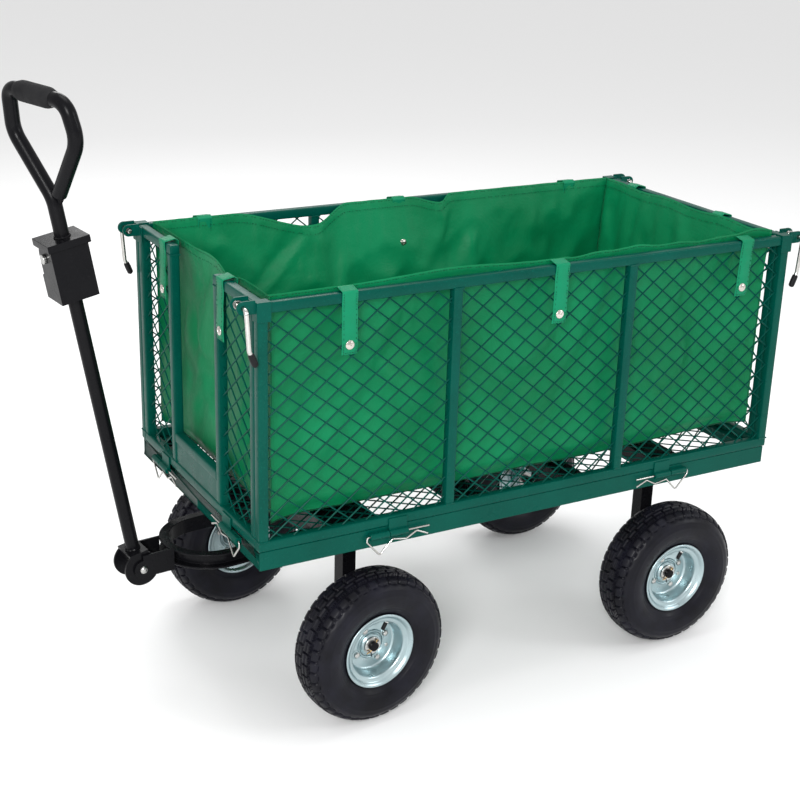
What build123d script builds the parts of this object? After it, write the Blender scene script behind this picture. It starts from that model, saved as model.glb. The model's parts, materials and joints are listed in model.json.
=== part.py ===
"""Steel mesh garden cart with a hanging fabric liner, a folding pull handle and a steered front axle.

Frame: millimetres, +Z up, origin on the ground below the middle of the bed.
+X runs to the rear of the cart, -X is the pulling end, -Y is the left side seen from the rear.
"""
from build123d import *
import math
import os

# ---------------------------------------------------------------- driving dimensions
BED_LENGTH = 992.0          # bed frame, outside
BED_WIDTH = 509.0
BED_BOTTOM = 314.0          # height of the bed frame's lower edge
BED_HEIGHT = 31.0
BED_SHEET = 3.0             # thickness of the bed angle
BED_FLANGE = 25.0           # inward flange that carries the deck

CAGE_LENGTH = 996.0         # over the side panels
CAGE_WIDTH = 513.0
CAGE_HEIGHT = 390.0
CAGE_GAP = 1.0              # seam between the bed and the panels
TUBE = 16.0                 # square tube of every panel
TUBE_WALL = 1.5
INNER_POST_Y = 97.0         # middle of the inner posts of the end panels
LOW_RAIL_Z = 406.0          # middle of the low rail in the front opening

MESH_CELL_X = 84.0          # diamond opening, long way
MESH_CELL_Z = 66.0          # diamond opening, short way
MESH_WIRE = 3.0
MESH_THICK = 2.6
DECK_THICK = 2.5

HINGE_X = 296.0             # middle of the bed knuckles on the long sides
HINGE_Y = 168.0             # middle of the bed knuckles on the short sides
HINGE_OUT = 6.0             # hinge axis outside the bed's face
HINGE_Z = 335.0
KNUCKLE_R = 5.5
KNUCKLE_L = 33.0
KNUCKLE_PITCH = 34.5
CLIP_WIRE = 3.0

LATCH_X = 519.0             # latch pin's distance from the middle of the cart
LATCH_Z = 731.0
LATCH_ROD = 7.0
SIDE_EAR_Y = 252.0          # middle of the side panel's ear
END_EAR_Y = 227.0           # middle of the end panel's ear
EAR_THICK = 4.0
EAR_R = 10.0
LEVER_Y = 264.0

TYRE_D = 260.0
TYRE_W = 85.0
TREAD_THICK = 9.0
SIDEWALL_THICK = 7.0
RIM_SEAT_R = 51.0
RIM_LIP_R = 65.0
RIM_SHEET = 2.5
VALVE_R = 3.2               # stem of the inner tube's valve
VALVE_INNER_R = 30.0        # distance of its tip from the axle
VALVE_ANGLE = 120.0
VALVE_Y = 14.0              # outward from the wheel's middle plane
BOLT_CIRCLE_R = 30.0        # rim bolts
BOLT_ANGLES = (65, 155, 245, 335)
WHEEL_BOLT_R = 7.0
WHEEL_BOLT_HEAD = 5.5
HUB_R = 17.0
HUB_OUT = 8.0               # hub tube's outer end, from the wheel's middle plane
HUB_IN = 28.0               # hub tube's inner end
AXLE_STUB = 9.0             # axle left outside each outer washer
AXLE_INSIDE = 4.0           # stub axle left on the inner side of its leg
AXLE_D = 16.0
AXLE_CLEARANCE = 0.06       # radial running clearance of the wheel hubs

FRONT_AXLE_X = -317.0
REAR_AXLE_X = 305.0
FRONT_HALF_TRACK = 235.0
REAR_HALF_TRACK = 242.0
LEG = 25.0                  # square leg tube
LEG_WALL = 2.0
FRONT_LEG_Y = 158.0
REAR_LEG_Y = 162.0
STEER_REST = 5.5            # degrees that the front axle is turned at rest

KINGPIN_R = 8.0
BEAM_BOTTOM = 272.0         # steered cross beam over the front axle
BEAM_TOP = 306.0
BOW_CENTRE = 166.5          # middle of the bow's half ring, ahead of the kingpin
BOW_R = 82.0
BOW_FLANGE = 16.0
BOW_HEIGHT = 26.0
BOW_SHEET = 3.5
TONGUE_HEIGHT = 38.0
TONGUE_BOTTOM = 237.5
TONGUE_INNER = 24.0         # half the gap between the tongue's walls
TONGUE_WALL = 4.0

PIVOT_AHEAD = 298.0         # handle pivot, ahead of the kingpin
PIVOT_Z = 251.5
HANDLE_LEAN = 10.1          # degrees ahead of upright at rest
HANDLE_TUBE = 22.0
EAR_RADIUS = 29.0           # fork ears around the handle pivot
FORK_PLATE = 4.0
FORK_GAP = 0.5              # between an ear and the tongue's wall
BOX_BOTTOM = 468.0          # hitch box, measured along the shaft from the pivot
BOX_TOP = 558.0
BOX_X = 59.0                # outside, fore and aft
BOX_Y = 55.0                # outside, across
BOX_SHEET = 3.0
FOLD_Z = 535.0              # fold pin, along the shaft
FOLD_RELIEF = 31.0          # depth of the cheeks' relief below the fold pin, on the far side
LOOP_YAW = 15.0             # degrees that the handle loop is turned about the shaft
GRIP_D = 30.0

LINER_LENGTH = 944.0
LINER_WIDTH = 473.0
LINER_BOTTOM = 384.0
LINER_TOP = 742.0
LINER_SHEET = 2.5
STRAP_WIDTH = 26.0
STRAP_THICK = 1.6
STRAP_GAP = 0.2             # between a strap and the rail it passes over
STRAP_DROP = 96.0
SNAP_UP = 15.0              # press stud above the strap's lower end

# ---------------------------------------------------------------- worked-out places
BED_TOP = BED_BOTTOM + BED_HEIGHT
CAGE_BOTTOM = BED_TOP + CAGE_GAP
CAGE_TOP = CAGE_BOTTOM + CAGE_HEIGHT
AXLE_Z = TYRE_D / 2
BED_X = BED_LENGTH / 2
BED_Y = BED_WIDTH / 2
CAGE_X = CAGE_LENGTH / 2
CAGE_Y = CAGE_WIDTH / 2
END_PANEL_Y = CAGE_Y - TUBE - 1.0
SIDE_BAYS = 3
STEER = Pos(FRONT_AXLE_X, 0, 0) * Rot(0, 0, STEER_REST)
HANDLE = STEER * Pos(-PIVOT_AHEAD, 0, PIVOT_Z) * Rot(0, -HANDLE_LEAN, 0)

os.makedirs("parts", exist_ok=True)


def save(name, *solids):
    """Write one sub-part as a STEP file named after its node."""
    shape = solids[0] if len(solids) == 1 else Compound(children=list(solids))
    shape.label = name
    export_step(shape, f"parts/{name}.step")


def block(x0, x1, y0, y1, z0, z1):
    """A box between two corners, given in any order."""
    size = (abs(x1 - x0), abs(y1 - y0), abs(z1 - z0))
    return Pos((x0 + x1) / 2, (y0 + y1) / 2, (z0 + z1) / 2) * Box(*size)


def square_tube(x0, x1, y0, y1, z0, z1, wall=TUBE_WALL):
    """A tube between two corners of its box, open at both ends of its longest side."""
    low, high = [x0, y0, z0], [x1, y1, z1]
    sides = [high[i] - low[i] for i in range(3)]
    along = sides.index(max(sides))
    for i in range(3):
        if i != along:
            low[i] += wall
            high[i] -= wall
    hollow = block(low[0], high[0], low[1], high[1], low[2], high[2])
    return block(x0, x1, y0, y1, z0, z1) - hollow


def rod(radius, start, end, bore=0.0):
    """A round bar, or a tube when it has a bore, between two points."""
    start, end = Vector(*start), Vector(*end)
    axis = end - start
    plane = Plane(origin=start, z_dir=axis)
    section = Circle(radius)
    if bore:
        section -= Circle(bore)
    return extrude(plane * section, amount=axis.length)


def bent_rod(radius, points, bends, bore=0.0):
    """A round bar or tube along straight runs joined by tangent bends."""
    path = FilletPolyline(*points, radius=bends)
    section = Circle(radius)
    if bore:
        section -= Circle(bore)
    return sweep(Plane(origin=path @ 0, z_dir=path % 0) * section, path=path)


def mirror_x(shape):
    return mirror(shape, about=Plane.YZ)


def mirror_y(shape):
    return mirror(shape, about=Plane.XZ)


# ---------------------------------------------------------------- wire mesh
def diamond_sheet(u0, u1, v0, v1):
    """A flat face with diamond openings whose corners meet the surrounding tubes."""
    columns = max(2, round((u1 - u0) / MESH_CELL_X))
    rows = max(2, round((v1 - v0) / MESH_CELL_Z))
    cell_u = (u1 - u0) / columns
    cell_v = (v1 - v0) / rows
    half_u = cell_u / 2 - MESH_WIRE
    half_v = cell_v / 2 - MESH_WIRE * cell_v / cell_u
    edge = MESH_WIRE / 2
    holes = []
    for i in range(2 * columns + 1):
        for j in range(2 * rows + 1):
            if (i + j) % 2:
                continue
            cu, cv = u0 + i * cell_u / 2, v0 + j * cell_v / 2
            corners = [(cu + half_u, cv), (cu, cv + half_v), (cu - half_u, cv), (cu, cv - half_v)]
            clipped = []
            for u, v in corners:
                point = (min(max(u, u0 + edge), u1 - edge), min(max(v, v0 + edge), v1 - edge))
                if point not in clipped:
                    clipped.append(point)
            holes.append(Polyline(*clipped, close=True))
    outline = Polyline((u0, v0), (u1, v0), (u1, v1), (u0, v1), close=True)
    return Face(Wire(outline.edges()), [Wire(hole.edges()) for hole in holes])


def mesh_bays(bays, plane, thickness):
    """Meshed bays, each given by its own rectangle, extruded both ways about a plane."""
    return [extrude(plane * diamond_sheet(*bay), amount=thickness / 2, both=True) for bay in bays]


# ---------------------------------------------------------------- bed
def bed_rails():
    side = block(-BED_X, BED_X, -BED_Y, -BED_Y + BED_SHEET, BED_BOTTOM, BED_TOP)
    side += block(-BED_X, BED_X, -BED_Y, -BED_Y + BED_FLANGE, BED_TOP - BED_SHEET, BED_TOP)
    inner_y = BED_Y - BED_FLANGE
    web_y = BED_Y - BED_SHEET
    end = block(-BED_X, -BED_X + BED_SHEET, -web_y, web_y, BED_BOTTOM, BED_TOP - BED_SHEET)
    end += block(-BED_X, -BED_X + BED_FLANGE, -inner_y, inner_y, BED_TOP - BED_SHEET, BED_TOP)
    return [side, mirror_y(side), end, mirror_x(end)]


def cross_members():
    """Cross members that carry the deck, the kingpin and the rear legs; two are lipped channels."""
    members = []
    web_y = BED_Y - BED_SHEET
    top = BED_TOP - BED_SHEET
    s = BED_SHEET
    for x, width, lip in ((FRONT_AXLE_X, 90.0, None), (-90.0, 40.0, 15.0), (110.0, 40.0, 15.0),
                          (REAR_AXLE_X, 60.0, None)):
        x0, x1 = x - width / 2, x + width / 2
        member = block(x0, x1, -web_y, web_y, BED_BOTTOM, top)
        member -= block(x0 + s, x1 - s, -web_y, web_y, BED_BOTTOM + s, top - s)
        if lip:
            member -= block(x0 + lip, x1 - lip, -web_y, web_y, BED_BOTTOM, BED_BOTTOM + s)
        members.append(member)
    bore = rod(KINGPIN_R + 0.1, (FRONT_AXLE_X, 0, BED_BOTTOM - 5), (FRONT_AXLE_X, 0, BED_TOP))
    members[0] -= bore
    return members


def bed_knuckles():
    """Fixed half of each hinge: a tube with a foot on the bed's outer face."""
    y = -BED_Y - HINGE_OUT
    half = KNUCKLE_L / 2
    solids = []
    for x in (-HINGE_X, HINGE_X):
        tube = rod(KNUCKLE_R, (x - half, y, HINGE_Z), (x + half, y, HINGE_Z), CLIP_WIRE / 2 + 0.3)
        foot = block(x - half, x + half, -BED_Y, -BED_Y - 2.5, HINGE_Z - 5, HINGE_Z + 5)
        bore = rod(CLIP_WIRE / 2 + 0.3, (x - half, y, HINGE_Z), (x + half, y, HINGE_Z))
        solids.append(tube + foot - bore)
    solids += [mirror_y(solid) for solid in solids]
    x = -BED_X - HINGE_OUT
    ends = []
    for y in (-HINGE_Y, HINGE_Y):
        tube = rod(KNUCKLE_R, (x, y - half, HINGE_Z), (x, y + half, HINGE_Z), CLIP_WIRE / 2 + 0.3)
        foot = block(-BED_X, -BED_X - 2.5, y - half, y + half, HINGE_Z - 5, HINGE_Z + 5)
        bore = rod(CLIP_WIRE / 2 + 0.3, (x, y - half, HINGE_Z), (x, y + half, HINGE_Z))
        ends.append(tube + foot - bore)
    return solids + ends + [mirror_x(solid) for solid in ends]


def hinge_clip():
    """Spring clip that serves as the hinge pin: straight leg on the axis, wavy leg below it.

    Local frame: the straight leg runs along +X from the bend, the wavy leg hangs down -Z.
    """
    points = [(108, 0, 0), (-4, 0, 0), (-4, 0, -8), (19, 0, -34), (42, 0, -10.5), (66, 0, -15),
              (85, 0, -4.5), (106, 0, -14)]
    return bent_rod(CLIP_WIRE / 2, points, 3.4)


def hinge_clips():
    y = -BED_Y - HINGE_OUT
    first = Pos(-HINGE_X - KNUCKLE_L / 2 - 1, y, HINGE_Z) * hinge_clip()
    sides = [first, mirror_x(first)]
    sides += [mirror_y(clip) for clip in sides]
    x = -BED_X - HINGE_OUT
    second = Pos(x, -HINGE_Y - KNUCKLE_L / 2 - 1, HINGE_Z) * Rot(0, 0, 90) * hinge_clip()
    ends = [second, mirror_y(second)]
    return sides + ends + [mirror_x(clip) for clip in ends]


# ---------------------------------------------------------------- side panels
def side_frame():
    """The near side's frame: two rails, two corner posts and two mullions."""
    y0, y1 = -CAGE_Y, -CAGE_Y + TUBE
    z0, z1 = CAGE_BOTTOM, CAGE_TOP
    solids = [square_tube(-CAGE_X, CAGE_X, y0, y1, z0, z0 + TUBE),
              square_tube(-CAGE_X, CAGE_X, y0, y1, z1 - TUBE, z1)]
    for x in (-CAGE_X + TUBE / 2, CAGE_X - TUBE / 2, -CAGE_X / SIDE_BAYS, CAGE_X / SIDE_BAYS):
        solids.append(square_tube(x - TUBE / 2, x + TUBE / 2, y0, y1, z0 + TUBE, z1 - TUBE))
    return solids


def side_mesh():
    mullion = CAGE_X / SIDE_BAYS
    z0, z1 = CAGE_BOTTOM + TUBE, CAGE_TOP - TUBE
    bays = [(-CAGE_X + TUBE, -mullion - TUBE / 2, z0, z1),
            (-mullion + TUBE / 2, mullion - TUBE / 2, z0, z1),
            (mullion + TUBE / 2, CAGE_X - TUBE, z0, z1)]
    plane = Plane(origin=(0, -CAGE_Y + TUBE / 2, 0), x_dir=(1, 0, 0), z_dir=(0, -1, 0))
    return mesh_bays(bays, plane, MESH_THICK)


def ear_outline(root_x):
    """Flat ear in the XZ plane: rounded about the latch pin and square at its root."""
    disc = Pos(-LATCH_X, LATCH_Z) * Circle(EAR_R)
    neck = Pos((-LATCH_X + root_x) / 2, LATCH_Z) * Rectangle(LATCH_X + root_x, 2 * EAR_R)
    return disc + neck


def ear(middle_y, hole_radius, root_x):
    plane = Plane(origin=(0, middle_y, 0), x_dir=(1, 0, 0), z_dir=(0, -1, 0))
    outline = ear_outline(root_x) - Pos(-LATCH_X, LATCH_Z) * Circle(hole_radius)
    return extrude(plane * outline, amount=EAR_THICK / 2, both=True)


def side_brackets():
    """Corner sleeves with latch ears, and hinge straps, of the near side panel."""
    wrap = 2.5
    z0, z1 = CAGE_TOP - 28, CAGE_TOP + 2
    sleeve = block(-CAGE_X - wrap, -CAGE_X + 20, -CAGE_Y - wrap, -CAGE_Y, z0, z1)
    sleeve += block(-CAGE_X - wrap, -CAGE_X, -CAGE_Y, -CAGE_Y + TUBE, z0, z1)
    sleeve += block(-CAGE_X, -CAGE_X + 20, -CAGE_Y, -CAGE_Y + TUBE, CAGE_TOP, z1)
    sleeve += ear(-SIDE_EAR_Y, LATCH_ROD / 2 + 0.1, -CAGE_X - wrap)
    solids = [sleeve, mirror_x(sleeve)]
    y = -BED_Y - HINGE_OUT
    middle = HINGE_X - KNUCKLE_PITCH
    for x in (-middle, middle):
        x0, x1 = x - KNUCKLE_L / 2, x + KNUCKLE_L / 2
        strap = rod(KNUCKLE_R, (x0, y, HINGE_Z), (x1, y, HINGE_Z))
        strap += block(x0, x1, -CAGE_Y, -CAGE_Y - 2.5, HINGE_Z + 1, CAGE_BOTTOM + 13)
        solids.append(strap - rod(CLIP_WIRE / 2 + 0.05, (x0, y, HINGE_Z), (x1, y, HINGE_Z)))
    return solids


# ---------------------------------------------------------------- end panels
def end_frame(has_opening):
    """The pulling end's frame; with an opening its top rail stops at the inner posts."""
    x0, x1 = -CAGE_X, -CAGE_X + TUBE
    z0, z1 = CAGE_BOTTOM, CAGE_TOP
    inner = INNER_POST_Y + TUBE / 2
    outer = END_PANEL_Y
    solids = [square_tube(x0, x1, -outer, outer, z0, z0 + TUBE)]
    if has_opening:
        gap = INNER_POST_Y - TUBE / 2
        solids.append(square_tube(x0, x1, -outer, -gap, z1 - TUBE, z1))
        solids.append(square_tube(x0, x1, gap, outer, z1 - TUBE, z1))
        solids.append(square_tube(x0, x1, -gap, gap, LOW_RAIL_Z - TUBE / 2, LOW_RAIL_Z + TUBE / 2))
    else:
        solids.append(square_tube(x0, x1, -outer, outer, z1 - TUBE, z1))
    for y in (-outer + TUBE / 2, -inner + TUBE / 2, inner - TUBE / 2, outer - TUBE / 2):
        solids.append(square_tube(x0, x1, y - TUBE / 2, y + TUBE / 2, z0 + TUBE, z1 - TUBE))
    return solids


def end_mesh(has_opening):
    z0, z1 = CAGE_BOTTOM + TUBE, CAGE_TOP - TUBE
    inner = INNER_POST_Y + TUBE / 2
    outer = END_PANEL_Y - TUBE
    bays = [(-outer, -inner, z0, z1), (inner, outer, z0, z1)]
    if not has_opening:
        bays.append((-INNER_POST_Y + TUBE / 2, INNER_POST_Y - TUBE / 2, z0, z1))
    plane = Plane(origin=(-CAGE_X + TUBE / 2, 0, 0), x_dir=(0, 1, 0), z_dir=(1, 0, 0))
    return mesh_bays(bays, plane, MESH_THICK)


def end_brackets():
    """Latch ears on their foot plates, and hinge straps, of the pulling end's panel."""
    foot = block(-CAGE_X - 2.5, -CAGE_X, -END_PANEL_Y, -END_PANEL_Y + 22, CAGE_TOP - 28, CAGE_TOP)
    latch = foot + ear(-END_EAR_Y, LATCH_ROD / 2 + 1.6, -CAGE_X - 2.5)
    solids = [latch, mirror_y(latch)]
    x = -BED_X - HINGE_OUT
    middle = HINGE_Y - KNUCKLE_PITCH
    for y in (-middle, middle):
        y0, y1 = y - KNUCKLE_L / 2, y + KNUCKLE_L / 2
        strap = rod(KNUCKLE_R, (x, y0, HINGE_Z), (x, y1, HINGE_Z))
        strap += block(-CAGE_X, -CAGE_X - 2.5, y0, y1, HINGE_Z + 1, CAGE_BOTTOM + 13)
        solids.append(strap - rod(CLIP_WIRE / 2 + 0.05, (x, y0, HINGE_Z), (x, y1, HINGE_Z)))
    return solids


# ---------------------------------------------------------------- latch pins
def latch_pin():
    """Pin and bent lever of the near corner at the pulling end, with a collar between the ears."""
    points = [(-LATCH_X, -219, LATCH_Z), (-LATCH_X, -LEVER_Y, LATCH_Z),
              (-LATCH_X + 4, -LEVER_Y, LATCH_Z - 60), (-LATCH_X + 13, -LEVER_Y, LATCH_Z - 82)]
    pin = bent_rod(LATCH_ROD / 2, points, 7.0)
    collar = rod(6.5, (-LATCH_X, -235, LATCH_Z), (-LATCH_X, -232, LATCH_Z))
    return pin + collar


def latch_tip():
    """Rubber cap pushed over the slanted end of the lever."""
    start = Vector(-LATCH_X + 4, -LEVER_Y, LATCH_Z - 60)
    end = Vector(-LATCH_X + 13, -LEVER_Y, LATCH_Z - 82)
    along = (end - start).normalized()
    cap = rod(5.0, start + along * 4, end + along * 3)
    return cap - rod(LATCH_ROD / 2, start, end)


# ---------------------------------------------------------------- liner and straps
def liner():
    """Open-topped fabric box, hung inside the cage."""
    lx, ly = LINER_LENGTH / 2, LINER_WIDTH / 2
    outer = block(-lx, lx, -ly, ly, LINER_BOTTOM, LINER_TOP)
    outer = fillet(outer.edges().filter_by(Axis.Z), 20)
    inner = block(-lx + LINER_SHEET, lx - LINER_SHEET, -ly + LINER_SHEET, ly - LINER_SHEET,
                  LINER_BOTTOM + LINER_SHEET, LINER_TOP + 1)
    return outer - fillet(inner.edges().filter_by(Axis.Z), 20 - LINER_SHEET)


def side_strap(x):
    """Strap loop over the near side's top rail."""
    t = STRAP_THICK
    gap = STRAP_GAP
    y0, y1 = -CAGE_Y - gap - t, -CAGE_Y + TUBE + gap + t
    z1 = CAGE_TOP + gap + t
    x0, x1 = x - STRAP_WIDTH / 2, x + STRAP_WIDTH / 2
    loop = block(x0, x1, y0, y1, CAGE_TOP + gap, z1)
    loop += block(x0, x1, y0, y0 + t, z1 - STRAP_DROP, z1)
    loop += block(x0, x1, y1 - t, y1, z1 - STRAP_DROP / 2, z1)
    return loop


def end_strap(y):
    """Strap loop over the pulling end's top rail."""
    t = STRAP_THICK
    gap = STRAP_GAP
    x0, x1 = -CAGE_X - gap - t, -CAGE_X + TUBE + gap + t
    z1 = CAGE_TOP + gap + t
    y0, y1 = y - STRAP_WIDTH / 2, y + STRAP_WIDTH / 2
    loop = block(x0, x1, y0, y1, CAGE_TOP + gap, z1)
    loop += block(x0, x0 + t, y0, y1, z1 - STRAP_DROP, z1)
    loop += block(x1 - t, x1, y0, y1, z1 - STRAP_DROP / 2, z1)
    return loop


def side_snap(x):
    """Domed press stud near the lower end of a side strap."""
    y = -CAGE_Y - STRAP_GAP - STRAP_THICK
    z = CAGE_TOP + 2 - STRAP_DROP + SNAP_UP
    return rod(7.0, (x, y, z), (x, y - 1.5, z)) + rod(4.5, (x, y - 1.5, z), (x, y - 3, z))


def end_snap(y):
    x = -CAGE_X - STRAP_GAP - STRAP_THICK
    z = CAGE_TOP + 2 - STRAP_DROP + SNAP_UP
    return rod(7.0, (x, y, z), (x - 1.5, y, z)) + rod(4.5, (x - 1.5, y, z), (x - 3, y, z))


# ---------------------------------------------------------------- wheels
def about_axle(profile):
    """Revolve a (radius, across) profile about the wheel's own axle, the Y axis."""
    plane = Plane(origin=(0, 0, 0), x_dir=(1, 0, 0), z_dir=(0, 0, 1))
    return revolve(plane * profile, axis=Axis.Y)


def tyre_section(top, half, bead_y, lip_y):
    """Closed outline between the beads, the sidewalls and the crown of a tyre."""
    bead = RIM_SEAT_R + 1.0
    lip = RIM_LIP_R + 1
    shoulder = top - 12
    wall = (lip + shoulder) / 2 + 4
    return make_face([
        Line((bead, -bead_y), (lip, -lip_y)),
        ThreePointArc((lip, -lip_y), (wall, -half), (shoulder, -half + 5)),
        ThreePointArc((shoulder, -half + 5), (top, 0), (shoulder, half - 5)),
        ThreePointArc((shoulder, half - 5), (wall, half), (lip, lip_y)),
        Line((lip, lip_y), (bead, bead_y)),
        Line((bead, bead_y), (bead, -bead_y))])


def valve_bar(radius, inner, outer):
    """A bar along the valve's own spoke, between two distances from the axle."""
    x, z = math.cos(math.radians(VALVE_ANGLE)), math.sin(math.radians(VALVE_ANGLE))
    return rod(radius, (inner * x, VALVE_Y, inner * z), (outer * x, VALVE_Y, outer * z))


def tyre():
    """Hollow pneumatic tyre, open towards the rim, with the valve of its tube."""
    half = TYRE_W / 2
    top = TYRE_D / 2
    outside = tyre_section(top, half, 23.5, 28.5)
    inside = tyre_section(top - TREAD_THICK, half - SIDEWALL_THICK, 17.5, 21.5)
    return [about_axle(outside - inside), valve_bar(VALVE_R, VALVE_INNER_R, RIM_SEAT_R + 5)]


def rim_half():
    """Pressed half of the rim: disc, bowl wall and rolled lip, on the +Y side."""
    s = RIM_SHEET
    seat = RIM_SEAT_R
    profile = make_face(Polyline(
        (HUB_R, 0), (44, 0), (seat - 2, 5), (seat, 24.4), (seat + 4, 29), (RIM_LIP_R, 31),
        (RIM_LIP_R, 31 + s), (seat + 3, 31 + s), (seat - s, 26), (seat - s - 2, 6.5), (43, s),
        (HUB_R, s), close=True))
    return about_axle(profile)


def wheel_bolt(angle):
    """Bolt and nut that clamp the two rim halves together."""
    x = BOLT_CIRCLE_R * math.cos(math.radians(angle))
    z = BOLT_CIRCLE_R * math.sin(math.radians(angle))
    plane = Plane(origin=(x, RIM_SHEET, z), x_dir=(1, 0, 0), z_dir=(0, 1, 0))
    head = extrude(plane * RegularPolygon(WHEEL_BOLT_R, 6), amount=WHEEL_BOLT_HEAD)
    return [head, mirror(head, about=Plane.XZ)]


def rim():
    half = rim_half()
    hub = rod(HUB_R, (0, -HUB_IN, 0), (0, HUB_OUT, 0), AXLE_D / 2 + AXLE_CLEARANCE)
    valve_hole = valve_bar(VALVE_R + 0.4, 40, RIM_SEAT_R + 9)
    solids = [half - valve_hole, mirror_y(half), hub]
    for angle in BOLT_ANGLES:
        solids += wheel_bolt(angle)
    return solids


def stub_axles(leg_y, half_track):
    """Two short axles, each from just inside its leg out through the wheel."""
    inner = leg_y - LEG / 2 - AXLE_INSIDE
    outer = half_track + HUB_OUT + AXLE_STUB
    near = rod(AXLE_D / 2, (0, -inner, 0), (0, -outer, 0))
    return [near, mirror_y(near)]


def axle_fasteners(half_track):
    """Washers on both sides of each hub, and the split pins that hold them."""
    solids = []
    for side in (-1, 1):
        for hand in (-1, 1):
            reach = HUB_OUT if hand == side else HUB_IN
            y = side * half_track + hand * (reach + 0.4)
            solids.append(rod(15.0, (0, y, 0), (0, y + hand * 2.5, 0), AXLE_D / 2))
            pin_y = y + hand * 5.0
            solids.append(rod(1.6, (0, pin_y, AXLE_D / 2), (0, pin_y, AXLE_D / 2 + 5)))
            solids.append(rod(1.6, (0, pin_y, -AXLE_D / 2), (0, pin_y, -AXLE_D / 2 - 10)))
    return solids


def leg(y, top):
    """Square leg from its support down past the axle, bored for it."""
    tube = square_tube(-LEG / 2, LEG / 2, y - LEG / 2, y + LEG / 2, AXLE_Z - 16, top, LEG_WALL)
    bore = rod(AXLE_D / 2, (0, y - LEG, AXLE_Z), (0, y + LEG, AXLE_Z))
    return tube - bore


# ---------------------------------------------------------------- steering
def steering_beam():
    """Channel under the kingpin, open side down, that carries the two front legs."""
    half = FRONT_LEG_Y + LEG / 2
    beam = block(-35, 35, -half, half, BEAM_BOTTOM, BEAM_TOP)
    beam -= block(-31, 31, -half, half, BEAM_BOTTOM, BEAM_TOP - 4)
    beam += block(-35, 35, -50, 50, BEAM_BOTTOM, BEAM_BOTTOM + 4)
    for y in (-FRONT_LEG_Y, FRONT_LEG_Y):
        beam += block(-35, 35, y - LEG / 2, y + LEG / 2, BEAM_BOTTOM, BEAM_BOTTOM + 4)
    return beam - rod(KINGPIN_R + 0.06, (0, 0, BEAM_BOTTOM - 1), (0, 0, BEAM_TOP + 1))


def bow_outline(radius):
    """Half ring and two straight arms, seen from above."""
    tail = 30.0
    disc = Pos(-BOW_CENTRE, 0) * Circle(radius)
    arms = Pos((-BOW_CENTRE + tail) / 2, 0) * Rectangle(BOW_CENTRE + tail, 2 * radius)
    return disc + arms


def steering_bow():
    """Channel-section bow, flanges outwards, that carries the tongue."""
    z0 = BEAM_BOTTOM - BOW_HEIGHT
    inner = BOW_R - BOW_FLANGE
    wide = bow_outline(BOW_R) - bow_outline(inner)
    web = bow_outline(inner + BOW_SHEET) - bow_outline(inner)
    bow = extrude(Pos(0, 0, z0) * wide, amount=BOW_SHEET)
    bow += extrude(Pos(0, 0, BEAM_BOTTOM - BOW_SHEET) * wide, amount=BOW_SHEET)
    bow += extrude(Pos(0, 0, z0) * web, amount=BOW_HEIGHT)
    return bow


def tongue():
    """Two walls with rounded ends and a floor, welded to the front of the bow."""
    z0, z1 = TONGUE_BOTTOM, TONGUE_BOTTOM + TONGUE_HEIGHT
    tip = -PIVOT_AHEAD
    nose = 15.0
    root = -BOW_CENTRE - 60
    side = Pos((root + tip) / 2, (z0 + z1) / 2) * Rectangle(root - tip, TONGUE_HEIGHT)
    side += Pos(tip, PIVOT_Z) * Circle(nose)
    side -= Pos(tip, PIVOT_Z) * Circle(6.0)
    plane = Plane(origin=(0, -TONGUE_INNER, 0), x_dir=(1, 0, 0), z_dir=(0, -1, 0))
    wall = extrude(plane * side, amount=TONGUE_WALL)
    floor = block(tip + EAR_RADIUS + 3, root, -TONGUE_INNER, TONGUE_INNER, z0, z0 + 4)
    shape = wall + mirror_y(wall) + floor
    return shape - Pos(-BOW_CENTRE, 0, PIVOT_Z) * Cylinder(BOW_R, 80)


def hex_bolt(radius, start, end, head):
    """Bolt with a hexagon head at its start and a nut at its end, along Y."""
    direction = 1 if end > start else -1
    plane = Plane(origin=(0, start, 0), x_dir=(1, 0, 0), z_dir=(0, -direction, 0))
    bolt = rod(radius, (0, start, 0), (0, end + direction * 9, 0))
    bolt += extrude(plane * RegularPolygon(head, 6), amount=radius)
    nut_plane = Plane(origin=(0, end, 0), x_dir=(1, 0, 0), z_dir=(0, direction, 0))
    return bolt + extrude(nut_plane * RegularPolygon(head, 6), amount=radius)


def kingpin():
    """Vertical bolt fixed in the bed's cross member; the steered beam turns on it."""
    top = BED_TOP - 2 * BED_SHEET
    shaft = rod(KINGPIN_R, (0, 0, BEAM_BOTTOM - 16), (0, 0, top - 10))
    head = Pos(0, 0, BED_BOTTOM + 3) * extrude(RegularPolygon(13, 6), amount=10)
    nut = Pos(0, 0, BEAM_BOTTOM - 10.5) * extrude(RegularPolygon(13, 6), amount=10)
    return shaft + head + nut


def pivot_plate():
    """Round bearing plate and thrust washer between the cross member and the steered beam."""
    plate = rod(60.0, (0, 0, BEAM_TOP + 2), (0, 0, BED_BOTTOM), KINGPIN_R)
    return plate + rod(30.0, (0, 0, BEAM_TOP), (0, 0, BEAM_TOP + 2), KINGPIN_R)


# ---------------------------------------------------------------- handle, upright about its pivot
def fork():
    """Two round ears joined by a web, which carries the shaft."""
    y1 = TONGUE_INNER - FORK_GAP
    y0 = y1 - FORK_PLATE
    face = Circle(EAR_RADIUS) + Pos(0, EAR_RADIUS - 8) * Rectangle(32, 16) - Circle(6.0)
    plane = Plane(origin=(0, -y0, 0), x_dir=(1, 0, 0), z_dir=(0, -1, 0))
    ear_plate = extrude(plane * face, amount=y1 - y0)
    web = block(-16, 16, -y0, y0, EAR_RADIUS - 5, EAR_RADIUS)
    return ear_plate + mirror_y(ear_plate) + web


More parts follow.
